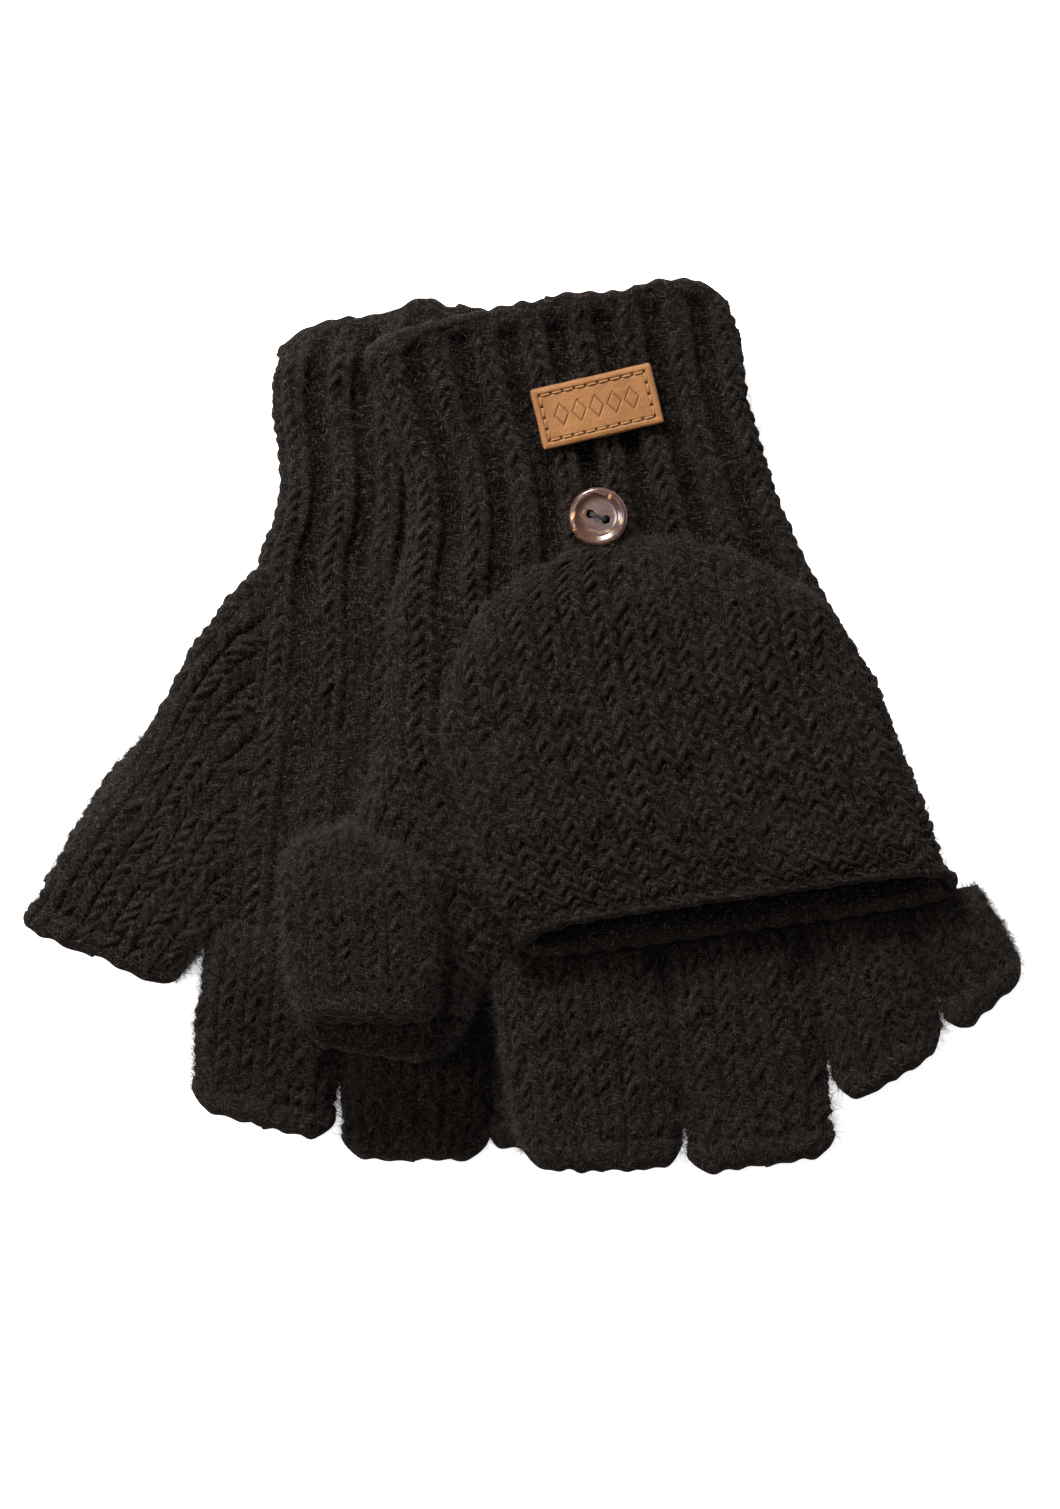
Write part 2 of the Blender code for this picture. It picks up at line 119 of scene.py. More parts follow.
def catmull(rows, t):
    """Smooth interpolation of rows (n x m) at parameters t in 0..n-1."""
    rows = np.asarray(rows, float)
    n = len(rows)
    i = np.clip(np.floor(t).astype(int), 0, n - 2)
    f = (t - i)[:, None]
    p1, p2 = rows[i], rows[i + 1]
    p0 = np.where((i > 0)[:, None], rows[np.maximum(i - 1, 0)], 2 * p1 - p2)
    p3 = np.where((i < n - 2)[:, None], rows[np.minimum(i + 2, n - 1)], 2 * p2 - p1)
    m1, m2 = (p2 - p0) / 2, (p3 - p1) / 2
    return ((2 * f**3 - 3 * f**2 + 1) * p1 + (f**3 - 2 * f**2 + f) * m1
            + (-2 * f**3 + 3 * f**2) * p2 + (f**3 - f**2) * m2)


# ---- heights, as in the CAD ------------------------------------------------------
def right_cap_thick(x):
    return 8.6 + (6.8 - 8.6) * np.clip((x + 74) / 112, 0, 1)


def right_under(x, y):
    base = 0.3 + right_cap_thick(x)
    up = base + (4.9 - base) * sstep((y - 44) / 50) - 4.9 * sstep((y - 91.5) / 10)
    dn = base - base * sstep((-55 - y) / 44)
    return np.where(y > 44, up, np.where(y < -55, dn, base))


def right_thick(x):
    return 8.6 + (6.0 - 8.6) * sstep((x + 40) / 75)


def left_plane(x):
    return 22.4 - 0.141 * (x + 20)


def left_under(x, y):
    z = left_plane(x) - 2.3 * sstep((y - 44) / 60)
    return z - 1.0 * sstep((-62 - y) / 50) * np.clip((110 - x) / 70, 0, 1)


def left_thumb_under(x, y):
    return 21.3 + 0.06 * (y + 50)


def right_thumb_under(x, y):
    return 8.9 + 0 * x


# ---- knit relief ------------------------------------------------------------------
def legs(a, c, k=2.3):
    """Stockinette relief, 0 to 1, at wale coordinate a and course coordinate c, and a tone per stitch."""
    i = np.floor(a)
    x = a - i - 0.5
    side = np.sign(x)
    c = c + 0.30 * noise(a * 0.8, c * 0.35, 3.1) + 0.5 * hash3(i, i * 0 + 7, i * 0)
    x = np.clip(x + 0.05 * noise(a * 0.5, c * 0.5, 8.3), -0.5, 0.5)
    ax = np.abs(x)
    s = c - k * ax
    r = np.floor(s)
    t = s - r
    v = hash3(i * 2 + (side > 0), r, r * 0 + 3)
    b = np.sin(np.pi * np.clip(t * 1.03, 0, 1)) ** 0.8
    wid = 0.255 + 0.03 * (v - 0.5)
    e = np.sqrt(np.clip(1 - (np.abs(ax - 0.235) / wid) ** 2.2, 0, 1))
    h = e * (0.30 + 0.70 * b) * (0.72 + 0.46 * v)
    # fine twist of the yarn along each leg
    h = h + 0.07 * np.sin(2 * np.pi * (2.2 * s + 3.2 * ax)) * e
    # worn and felted places
    felt = sstep(noise(a * 0.45, c * 0.22, 2.2, 4) * 0.9 + 0.35)
    h = h * (1 - 0.42 * felt) + 0.30 * felt + 0.14 * noise(a * 6, c * 4, 0.4, 6)
    return np.clip(h, 0, 1.2), v


def stocking(a, c, vv):
    h, v = legs(a, c)
    # the relief h also goes out as a colour value: painted shade, low between the yarn legs and high on their tops
    return 1.65 * h - 0.55 + 0.35 * (v - 0.5), h, v


def ribbed(depth):
    """Rib relief: a raised knit wale and a sunk purl wale; depth(vv) is how far the purl sinks."""
    def f(a, c, vv):
        d = depth(vv)
        rib = np.clip(d / 1.0, 0, 1)
        rho = (a / 2 + 0.02 * noise(a * 0.4, c * 0.12, 5.5)) % 1.0
        i = np.floor(a / 2)
        ridge = sstep((0.5 - np.abs(rho - 0.36) - 0.13) / 0.17)
        wide = (rho - 0.0) * (1 - rib) * 2 + rib * np.clip((rho - 0.06) / 0.60, 0, 0.9999)
        aa = i * 2 + wide
        h, v = legs(aa, c)
        purl = 0.5 + 0.5 * np.sin(2 * np.pi * (c + 0.5 * hash3(i, i * 0, i * 0 + 2)))
        m = 1 - rib * (1 - ridge)
        # colour value from the relief: low and dimmed in the sunk purl wales, painted shade; high on the raised knit
        # wales
        hh = m * h + (1 - m) * (0.04 + 0.12 * purl)
        return d * (ridge - 0.8) + 1.5 * h * m + 0.22 * purl * (1 - m) - 0.4, np.clip(hh, 0, 1.1) * (0.55 + 0.45 * m), v
    return f


# ---- building the knitted pieces -----------------------------------------------------
WOOL_PIECES = []


def make_mesh(name, verts, faces4, faces3, attrs):
    me = bpy.data.meshes.new(name)
    nv, n4, n3 = len(verts), len(faces4), len(faces3)
    me.vertices.add(nv)
    me.vertices.foreach_set("co", (verts * MM).astype(np.float32).ravel())
    loops = np.concatenate([faces4.ravel(), faces3.ravel()]).astype(np.int32)
    me.loops.add(len(loops))
    me.loops.foreach_set("vertex_index", loops)
    me.polygons.add(n4 + n3)
    starts = np.concatenate([np.arange(n4) * 4, n4 * 4 + np.arange(n3) * 3]).astype(np.int32)
    me.polygons.foreach_set("loop_start", starts)
    me.update(calc_edges=True)
    me.validate()
    for key, val in attrs.items():
        at = me.attributes.new(key, "FLOAT", "POINT")
        at.data.foreach_set("value", np.asarray(val, np.float32))
    me.shade_smooth()
    return me


def unit(v):
    return v / np.maximum(np.linalg.norm(v, axis=-1, keepdims=True), 1e-9)


def section(w, H, p, top, nu):
    """One flattened section sampled evenly round: s across, z over the middle, arc length."""
    th = np.linspace(0, np.pi / 2, 60)
    s_half = (1 - np.cos(2 * th)) / 2 * 0.5          # 0 .. 0.5
    s_half = 0.5 * np.sin(th) ** 2
    s = np.concatenate([s_half[::-1], s_half[1:], 1 - s_half[::-1][1:], 1 - s_half[1:-1]])
    sg = np.concatenate([np.ones(60), -np.ones(59), -np.ones(59), np.ones(58)])
    prof = np.sqrt(np.clip(1 - np.abs(2 * s - 1) ** p, 0, 1))
    z = np.where(sg > 0, prof * H * top, -prof * H * (1 - top))
    X, Z = np.append(s, s[0]) * w, np.append(z, z[0])
    d = np.hypot(np.diff(X), np.diff(Z))
    L = np.concatenate([[0], np.cumsum(d)])
    q = np.linspace(0, L[-1], nu, endpoint=False)
    return np.interp(q, L, X) / w, np.interp(q, L, Z), q, L[-1]


def knit(name, rows, under, step=0.55, wales=None, by_distance=False, pattern=stocking, end="rim",
         start="plain", wall=WALL, lumps=0.45, course_dir=None, phase=0.0, round_end=None,
         shear=0.0, shear_dir=(0, 1), pfac=0.5, inset=0.5, bead=1.75, crown=None, top=0.5,
         flare=0.0, post=None, corner=0.0, waves=0.0, plump=0.0, band=1.0, top_line=None, edge_wave=0.35, seed=1, course_sign=1, ragged=0.0):
    """A knitted tube or cup. rows: (Lx, Ly, Rx, Ry, H) in layout mm, from its base to its end."""
    rows = np.array([[r[0] + C[0], r[1] + C[1], r[2] + C[0], r[3] + C[1], r[4]] for r in rows], float)
    n = len(rows)
    mid = (rows[:, :2] + rows[:, 2:4]) / 2
    t = np.linspace(0, n - 1, 400)
    fine = catmull(rows, t)
    fm = (fine[:, :2] + fine[:, 2:4]) / 2
    dl = np.concatenate([[0], np.cumsum(np.hypot(*np.diff(fm, axis=0).T))])
    nv = max(6, int(dl[-1] / step))
    v = np.linspace(0, dl[-1], nv)
    F = catmull(rows, np.interp(v, dl, t))
    Lp, Rp, H = F[:, :2].copy(), F[:, 2:4].copy(), F[:, 4]
    if plump:
        q = (Rp - Lp) / np.maximum(np.hypot(*(Rp - Lp).T), 1e-6)[:, None]
        g = (plump * (1 - 0.75 * sstep((v / v[-1] - 0.45) / 0.45)))[:, None]
        Lp, Rp = Lp - q * g, Rp + q * g
    W = np.hypot(*(Rp - Lp).T)
    nu = int(round((2 * W.max() + 2 * H.max() * 0.6) / step))
    nu = max(24, nu)
    P = np.zeros((nv, nu, 3))
    A = np.zeros((nv, nu))
    for j in range(nv):
        h = max(H[j] - 2 * inset, 0.8)
        s, z, q, Lc = section(W[j], h, max(2.0, min(12.0, 2 * W[j] / h * pfac)), top, nu)
        xy = Lp[j] + (Rp[j] - Lp[j]) * s[:, None]
        zb = under(xy[:, 0], xy[:, 1]) + inset + h * (1 - top)
        P[j, :, :2] = xy
        P[j, :, 2] = zb + z
        if by_distance:
            d = q.copy()
            d[d > Lc / 2] -= Lc
            A[j] = d / WALE
        else:
            A[j] = wales * q / Lc
    K = wales
    # centre line length gives the courses, or a straight direction does
    if course_dir is None:
        dvec = np.linalg.norm(np.diff(P, axis=0), axis=2)
        Cc = np.concatenate([np.zeros((1, nu)), np.cumsum(dvec, axis=0)]) / COURSE
        Cc = 0.5 * Cc + 0.5 * Cc.mean(axis=1, keepdims=True)
    else:
        d = unit(np.array(course_dir, float))
        Cc = (P[:, :, 0] * d[0] + P[:, :, 1] * d[1]) / COURSE
    Cc = Cc * course_sign + phase
    vv = (v / v[-1])[:, None]
    # slack in the fabric
    if crown is not None:
        P[:, :, 2] += crown(P[:, :, 0], P[:, :, 1], vv, P[:, :, 2] - under(P[:, :, 0], P[:, :, 1]), H[:, None])
    if shear:
        lift = np.clip((P[:, :, 2] - under(P[:, :, 0], P[:, :, 1])) / H.max(), 0, 1)
        fall = np.exp(-v[:, None] / 9.0) if start == "rim" else np.exp(-(v[-1] - v[:, None]) / 9.0)
        P[:, :, 0] += shear * shear_dir[0] * lift * fall
        P[:, :, 1] += shear * shear_dir[1] * lift * fall

    def normals(P):
        du = np.roll(P, -1, 1) - np.roll(P, 1, 1)
        dv = np.gradient(P, axis=0)
        N = unit(np.cross(du, dv))
        ctr = P.mean(axis=1, keepdims=True)
        if ((P - ctr) * N)[nv // 2].sum() < 0:
            N = -N
        return N

    if corner and end == "rim":
        sx = np.zeros((nv, nu))
        for j in range(nv):
            ax = unit(Rp[j] - Lp[j])
            sx[j] = ((P[j, :, :2] - Lp[j]) @ ax) / W[j] * 2 - 1
        pull = corner * np.abs(sx) ** 11 * sstep((v[:, None] - v[-1] + 16) / 16) ** 1.5
        back = unit(mid[-2] - mid[-1])
        P[:, :, 0] += back[0] * pull
        P[:, :, 1] += back[1] * pull
        P[:, :, 0] += 0
    if waves:
        wv = waves * (noise(A * 0.33, 0.5, 0.2, seed + 21) + 0.5 * noise(A * 1.1, 0.7, 0.2, seed + 22)) \
            * sstep((v[:, None] - v[-1] + 14) / 14)
        fw = unit(mid[-1] - mid[-2])
        P[:, :, 0] += fw[0] * wv
        P[:, :, 1] += fw[1] * wv
    if top_line is not None:
        fall = sstep((16 - v[:, None]) / 16)
        sx = np.zeros((nv, nu))
        for j in range(nv):
            ax = unit(Rp[j] - Lp[j])
            sx[j] = ((P[j, :, :2] - Lp[j]) @ ax) / W[j] * 2 - 1
        wob = 0.8 * noise(A * 0.55, 0.4, 0.2, seed + 24) + 0.5 * noise(A * 1.4, 0.1, 0.2, seed + 25)
        P[:, :, 1] += (top_line(P[:, :, 0], sx) + wob) * fall
        P[:, :, 2] += 0.6 * noise(A * 0.5, 0.9, 0.2, seed + 26) * fall
    N = normals(P)
    base = P.copy()
    # the second value is the relief kept as a colour value: painted shade in the low places, lighter on the raised
    # yarn; tone varies at random per stitch
    h, crest, tone = pattern(A, Cc, vv)
    big = noise(P[:, :, 0] / 17, P[:, :, 1] / 17, P[:, :, 2] / 9, seed) * lumps \
        + noise(P[:, :, 0] / 7, P[:, :, 1] / 7, P[:, :, 2] / 6, seed + 3) * lumps * 0.45 \
        + noise(P[:, :, 0] / 1.6, P[:, :, 1] / 1.6, P[:, :, 2] / 1.6, seed + 5) * 0.24 \
        + noise(P[:, :, 0] / 3.1, P[:, :, 1] / 3.1, P[:, :, 2] / 3.1, seed + 6) * 0.26
    # let the sides of the piece wander a little in plan
    side = (1 - N[:, :, 2] ** 2)
    wander = noise(P[:, :, 0] / 9, P[:, :, 1] / 9, 1.7, seed + 9) * edge_wave * side
    for on, dist in ((end == "rim", v[-1] - v[:, None]), (start == "rim", v[:, None] + 0 * A)):
        if on:
            dist = dist + 0.8 * noise(A * 0.5, 0.2, 0.9, seed + 30)
            g1 = np.exp(-((dist - 4.3) / 1.0) ** 2)
            g2 = np.exp(-((dist - 1.0) / 2.0) ** 2)
            nub = 0.5 + 0.5 * np.cos(2 * np.pi * (A * 1.5 + 0.25 * np.sin(A * 2.3)))
            gap = 0.15 + 0.85 * sstep(0.5 + 0.9 * noise(A * 0.6, 0.3, 0.6, seed + 31))
            h = h * (1 - 0.45 * g2) - band * 0.60 * g1 * gap + band * g2 * (0.45 + 0.45 * nub)
            # colour value darkened in the groove behind the rolled edge and at its foot, lifted on the nubs of the
            # roll: painted shade and painted light from the relief
            crest = np.clip(crest * (1 - 0.5 * g1 * gap) * (1 - 0.3 * g2) + 0.28 * g2 * nub, 0, 1)
    D = h + big + wander
    P = P + N * D[:, :, None]
    rings, relief_shade_rows, toner, rough = [], [], [], []

    def push(ring, cr, to):
        rings.append(ring)
        relief_shade_rows.append(cr)
        toner.append(to)

    def rim(j, sign):
        """Rolled, bound-off edge at row j; sign +1 at the end of the tube, -1 at its start."""
        j2 = j - sign
        T = unit(base[j] - base[j2]) if sign > 0 else unit(base[j] - base[j2])
        T = unit(base[j] - base[j2])
        Nn = N[j]
        r = bead
        ctr = base[j] - Nn * (wall / 2)
        out = []
        chain = 0.5 + 0.5 * np.cos(2 * np.pi * (A[j] * 1.0 + 0.1 * noise(A[j] * 0.7, 0.3, 0.2, seed)))
        nrim = 13
        for m in range(1, nrim):
            ph = math.pi * m / nrim
            kn = 0.55 * chain * math.sin(ph) + 0.30 * noise(A[j] * 2.1, ph * 1.3, 0.7, seed + 2) \
                + ragged * noise(A[j] * 0.55, 0.4, 0.1, seed + 4) * math.sin(ph)
            rr = r * (1 + 0.12 * math.sin(ph))
            ring = ctr + (Nn * (math.cos(ph) * rr) + T * ((math.sin(ph) * (rr * 1.15) + kn)[:, None] if hasattr(kn, "shape") else T))
            # colour value highest at the outer tip of the roll and on each chain stitch: painted light on the bulge,
            # painted shade where the roll turns into the walls
            out.append((ring, 0.35 + 0.5 * chain * math.sin(ph)))
        return out

    inner_rows = list(range(0, nv, 4))
    if inner_rows[-1] != nv - 1:
        inner_rows.append(nv - 1)
    hcap = np.maximum(H - 2 * inset, 0.8)[:, None]
    depth_in = np.minimum(wall, hcap * 0.36)
    I = base - N * depth_in[:, :, None] if depth_in.ndim == 2 and depth_in.shape[1] == 1 else base - N * depth_in[..., None]
    zz = np.zeros(nu)
    if end != "closed":                                    # tube: torus topology
        for j in range(nv):
            push(P[j], crest[j], tone[j])
        if end == "rim":
            for ring, cr in rim(nv - 1, 1):
                push(ring, cr, zz + 0.5)
        # inside wall: low colour values 0.12 and 0.3 paint it dark, painted shade
        for j in inner_rows[::-1]:
            push(I[j], zz + 0.12, zz + 0.3)
        if start == "rim":
            for ring, cr in rim(0, -1)[::-1]:
                push(ring, cr, zz + 0.5)
        wrap = True
    else:                                                   # cup closed at its end
        for j in range(nv - 1, -1, -1):
            push(P[j], crest[j], tone[j])
        if start == "rim":
            for ring, cr in rim(0, -1):
                push(ring, cr, zz + 0.5)
        # inside wall: low colour values 0.12 and 0.3 paint it dark, painted shade
        for j in inner_rows:
            push(I[j], zz + 0.12, zz + 0.3)
        wrap = False
    R = np.array(rings)
    nr = len(R)
    V = R.reshape(-1, 3)
    cr = np.array([np.broadcast_to(x, nu) for x in relief_shade_rows]).ravel()
    to = np.array([np.broadcast_to(x, nu) for x in toner]).ravel()
    ii = np.arange(nu)
    jn = nr if wrap else nr - 1
    f = []
    for j in range(jn):
        k = (j + 1) % nr
        f.append(np.stack([j * nu + ii, j * nu + (ii + 1) % nu, k * nu + (ii + 1) % nu, k * nu + ii], 1))
    F4 = np.concatenate(f)
    F3 = np.zeros((0, 3), int)
    if not wrap:
        V = np.vstack([V, R[0].mean(0), R[-1].mean(0)])
        # middle points of the two ends: 0.5 outside, 0.1 on the inside, painted shade
        cr = np.append(cr, (0.5, 0.1))
        to = np.append(to, (0.5, 0.3))
        a = len(V) - 2
        F3 = np.concatenate([
            np.stack([np.full(nu, a), (ii + 1) % nu, ii], 1),
            np.stack([np.full(nu, a + 1), (nr - 1) * nu + ii, (nr - 1) * nu + (ii + 1) % nu], 1)])
    if post is not None:
        V = post(V)
    V[:, 2] = np.maximum(V[:, 2], 0.02)
    # outward orientation by signed volume
    tri = V[F4[:, :3]]
    tri2 = V[F4[:, [0, 2, 3]]]
    vol = np.einsum("ij,ij->i", tri[:, 0], np.cross(tri[:, 1], tri[:, 2])).sum() \
        + np.einsum("ij,ij->i", tri2[:, 0], np.cross(tri2[:, 1], tri2[:, 2])).sum()
    if len(F3):
        t3 = V[F3]
        vol += np.einsum("ij,ij->i", t3[:, 0], np.cross(t3[:, 1], t3[:, 2])).sum()
    if vol < 0:
        F4, F3 = F4[:, ::-1], F3[:, ::-1]
    me = make_mesh(name, V, F4, F3, {"crest": cr, "tone": to})
    ob = bpy.data.objects.new(name, me)
    scene.collection.objects.link(ob)
    me.materials.append(WOOL)
    nout = nv * nu
    WOOL_PIECES.append((ob, P.reshape(-1, 3), N.reshape(-1, 3)))
    return ob


# ---- materials ---------------------------------------------------------------------------
def mat(name):
    m = bpy.data.materials.new(name)
    m.use_nodes = True
    nt = m.node_tree
    return m, nt, nt.nodes["Principled BSDF"]


def add(nt, kind, **props):
    n = nt.nodes.new(kind)
    for k, v in props.items():
        setattr(n, k, v)
    return n


def wool_material():
    m, nt, b = mat("charcoal_wool_knit")
    L = nt.links
    tc = add(nt, "ShaderNodeTexCoord")
    # painted shade: the knit relief, stored per vertex, darkens the colour in the low places
    crest = add(nt, "ShaderNodeAttribute", attribute_name="crest")
    tone = add(nt, "ShaderNodeAttribute", attribute_name="tone")
    # fine fibres: stretched noise in two directions
    mp1 = add(nt, "ShaderNodeMapping")
    mp1.inputs["Scale"].default_value = (2600, 700, 1600)
    mp1.inputs["Rotation"].default_value = (0, 0, 0.35)
    n1 = add(nt, "ShaderNodeTexNoise")
    n1.inputs["Scale"].default_value = 1.0
    n1.inputs["Detail"].default_value = 2.0
    mp2 = add(nt, "ShaderNodeMapping")
    mp2.inputs["Scale"].default_value = (650, 2300, 1600)
    mp2.inputs["Rotation"].default_value = (0, 0, -0.6)
    n2 = add(nt, "ShaderNodeTexNoise")
    n2.inputs["Scale"].default_value = 1.0
    n2.inputs["Detail"].default_value = 2.0
    n3 = add(nt, "ShaderNodeTexNoise")
    n3.inputs["Scale"].default_value = 140
    n3.inputs["Detail"].default_value = 4
    for mp in (mp1, mp2):
        L.new(tc.outputs["Object"], mp.inputs["Vector"])
    L.new(mp1.outputs[0], n1.inputs["Vector"])
    L.new(mp2.outputs[0], n2.inputs["Vector"])
    L.new(tc.outputs["Object"], n3.inputs["Vector"])
    mx = add(nt, "ShaderNodeMath", operation="MAXIMUM")
    L.new(n1.outputs["Fac"], mx.inputs[0])
    L.new(n2.outputs["Fac"], mx.inputs[1])
    fleck = add(nt, "ShaderNodeMapRange")
    fleck.inputs["From Min"].default_value = 0.56
    fleck.inputs["From Max"].default_value = 0.80
    L.new(mx.outputs[0], fleck.inputs["Value"])
    # heathered base colour, with painted shade: the per-vertex relief value darkens it between the yarns, in purl
    # wales, grooves and inside, and lightens the raised yarn
    ramp = add(nt, "ShaderNodeValToRGB")
    e = ramp.color_ramp.elements
    e[0].position, e[0].color = 0.22, (0.0010, 0.0006, 0.0004, 1)
    e[1].position, e[1].color = 0.80, (0.0112, 0.0080, 0.0064, 1)
    mixv = add(nt, "ShaderNodeMath", operation="MULTIPLY_ADD")
    mixv.inputs[1].default_value = 0.50
    L.new(crest.outputs["Fac"], mixv.inputs[0])
    addn = add(nt, "ShaderNodeMath", operation="MULTIPLY_ADD")
    addn.inputs[1].default_value = 0.55
    addn.inputs[2].default_value = 0.02
    L.new(n3.outputs["Fac"], addn.inputs[0])
    L.new(addn.outputs[0], mixv.inputs[2])
    tonem = add(nt, "ShaderNodeMath", operation="MULTIPLY_ADD")
    tonem.inputs[1].default_value = 0.10
    L.new(tone.outputs["Fac"], tonem.inputs[0])
    L.new(mixv.outputs[0], tonem.inputs[2])
    L.new(tonem.outputs[0], ramp.inputs["Fac"])
    mixc = add(nt, "ShaderNodeMix", data_type="RGBA")
    L.new(fleck.outputs[0], mixc.inputs["Factor"])
    L.new(ramp.outputs["Color"], mixc.inputs[6])
    mixc.inputs[7].default_value = (0.058, 0.047, 0.041, 1)
    L.new(mixc.outputs[2], b.inputs["Base Color"])
    b.inputs["Roughness"].default_value = 0.95
    b.inputs["Specular IOR Level"].default_value = 0.04
    b.inputs["Sheen Weight"].default_value = 0.03
    b.inputs["Sheen Roughness"].default_value = 0.45
    b.inputs["Sheen Tint"].default_value = (0.55, 0.48, 0.43, 1)
    bump = add(nt, "ShaderNodeBump")
    bump.inputs["Strength"].default_value = 0.9
    bump.inputs["Distance"].default_value = 0.0011
    hsum = add(nt, "ShaderNodeMath", operation="ADD")
    L.new(mx.outputs[0], hsum.inputs[0])
    L.new(n3.outputs["Fac"], hsum.inputs[1])
    L.new(hsum.outputs[0], bump.inputs["Height"])
    L.new(bump.outputs[0], b.inputs["Normal"])
    return m


def fuzz_material():
    m, nt, b = mat("loose_wool_fibre")
    tc = add(nt, "ShaderNodeTexCoord")
    n = add(nt, "ShaderNodeTexNoise")
    n.inputs["Scale"].default_value = 500
    r = add(nt, "ShaderNodeValToRGB")
    e = r.color_ramp.elements
    e[0].position, e[0].color = 0.35, (0.0058, 0.0042, 0.0034, 1)
    e[1].position, e[1].color = 0.7, (0.056, 0.044, 0.036, 1)
    nt.links.new(tc.outputs["Object"], n.inputs["Vector"])
    nt.links.new(n.outputs["Fac"], r.inputs["Fac"])
    nt.links.new(r.outputs["Color"], b.inputs["Base Color"])
    b.inputs["Roughness"].default_value = 0.8
    b.inputs["Specular IOR Level"].default_value = 0.3
    return m


def leather_material():
    m, nt, b = mat("tan_leather_grain")
    L = nt.links
    tc = add(nt, "ShaderNodeTexCoord")
    vor = add(nt, "ShaderNodeTexVoronoi")
    vor.inputs["Scale"].default_value = 1500
    n = add(nt, "ShaderNodeTexNoise")
    n.inputs["Scale"].default_value = 160
    n.inputs["Detail"].default_value = 5
    wear = add(nt, "ShaderNodeAttribute", attribute_name="wear")
    ramp = add(nt, "ShaderNodeValToRGB")
    e = ramp.color_ramp.elements
    e[0].position, e[0].color = 0.2, (0.195, 0.080, 0.025, 1)
    e[1].position, e[1].color = 0.8, (0.305, 0.138, 0.046, 1)
    L.new(tc.outputs["Object"], vor.inputs["Vector"])
    L.new(tc.outputs["Object"], n.inputs["Vector"])
    L.new(n.outputs["Fac"], ramp.inputs["Fac"])
    mixc = add(nt, "ShaderNodeMix", data_type="RGBA")
    L.new(wear.outputs["Fac"], mixc.inputs["Factor"])
    L.new(ramp.outputs["Color"], mixc.inputs[6])
    mixc.inputs[7].default_value = (0.075, 0.026, 0.010, 1)
    L.new(mixc.outputs[2], b.inputs["Base Color"])
    b.inputs["Roughness"].default_value = 0.62
    b.inputs["Specular IOR Level"].default_value = 0.28
    bump = add(nt, "ShaderNodeBump")
    bump.inputs["Strength"].default_value = 0.35
    bump.inputs["Distance"].default_value = 0.0002
    L.new(vor.outputs["Distance"], bump.inputs["Height"])
    L.new(bump.outputs[0], b.inputs["Normal"])
    return m


def coconut_material():
    m, nt, b = mat("polished_coconut")
    L = nt.links
    tc = add(nt, "ShaderNodeTexCoord")
    mp = add(nt, "ShaderNodeMapping")
    mp.inputs["Scale"].default_value = (1, 2.6, 1)
    mp.inputs["Rotation"].default_value = (0, 0, 0.9)
    n = add(nt, "ShaderNodeTexNoise")
    n.inputs["Scale"].default_value = 210
    n.inputs["Detail"].default_value = 5
    n.inputs["Distortion"].default_value = 1.2
    ramp = add(nt, "ShaderNodeValToRGB")
    e = ramp.color_ramp.elements
    e[0].position, e[0].color = 0.30, (0.034, 0.014, 0.010, 1)
    e[1].position, e[1].color = 0.62, (0.085, 0.038, 0.027, 1)
    g = ramp.color_ramp.elements.new(0.72)
    g.color = (0.42, 0.22, 0.07, 1)
    L.new(tc.outputs["Object"], mp.inputs["Vector"])
    L.new(mp.outputs[0], n.inputs["Vector"])
    L.new(n.outputs["Fac"], ramp.inputs["Fac"])
    vo = add(nt, "ShaderNodeTexVoronoi")
    vo.inputs["Scale"].default_value = 620
    mp2 = add(nt, "ShaderNodeMapping")
    mp2.inputs["Scale"].default_value = (1, 0.42, 1)
    mp2.inputs["Rotation"].default_value = (0, 0, 0.5)
    L.new(tc.outputs["Object"], mp2.inputs["Vector"])
    L.new(mp2.outputs[0], vo.inputs["Vector"])
    sel = add(nt, "ShaderNodeSeparateColor")
    L.new(vo.outputs["Color"], sel.inputs[0])
    pick = add(nt, "ShaderNodeMath", operation="GREATER_THAN")
    pick.inputs[1].default_value = 0.80
    L.new(sel.outputs[0], pick.inputs[0])
    near = add(nt, "ShaderNodeMapRange")
    near.inputs["From Min"].default_value = 0.34
    near.inputs["From Max"].default_value = 0.16
    L.new(vo.outputs["Distance"], near.inputs["Value"])
    both = add(nt, "ShaderNodeMath", operation="MULTIPLY")
    L.new(pick.outputs[0], both.inputs[0])
    L.new(near.outputs[0], both.inputs[1])
    mixc = add(nt, "ShaderNodeMix", data_type="RGBA")
    L.new(both.outputs[0], mixc.inputs["Factor"])
    L.new(ramp.outputs["Color"], mixc.inputs[6])
    mixc.inputs[7].default_value = (0.62, 0.34, 0.12, 1)
    L.new(mixc.outputs[2], b.inputs["Base Color"])
    b.inputs["Roughness"].default_value = 0.28
    b.inputs["Coat Weight"].default_value = 0.7
    b.inputs["Coat Roughness"].default_value = 0.12
    bump = add(nt, "ShaderNodeBump")
    bump.inputs["Strength"].default_value = 0.25
    bump.inputs["Distance"].default_value = 0.0002
    L.new(n.outputs["Fac"], bump.inputs["Height"])
    L.new(bump.outputs[0], b.inputs["Normal"])
    return m


def thread_material(name, rgb, rough=0.7):
    m, nt, b = mat(name)
    tc = add(nt, "ShaderNodeTexCoord")
    w = add(nt, "ShaderNodeTexWave")
    w.inputs["Scale"].default_value = 900
    w.inputs["Distortion"].default_value = 3
    r = add(nt, "ShaderNodeValToRGB")
    e = r.color_ramp.elements
    e[0].color = (*[c * 0.55 for c in rgb], 1)
    e[1].color = (*rgb, 1)
    nt.links.new(tc.outputs["Object"], w.inputs["Vector"])
    nt.links.new(w.outputs["Fac"], r.inputs["Fac"])
    nt.links.new(r.outputs["Color"], b.inputs["Base Color"])
    b.inputs["Roughness"].default_value = rough
    return m


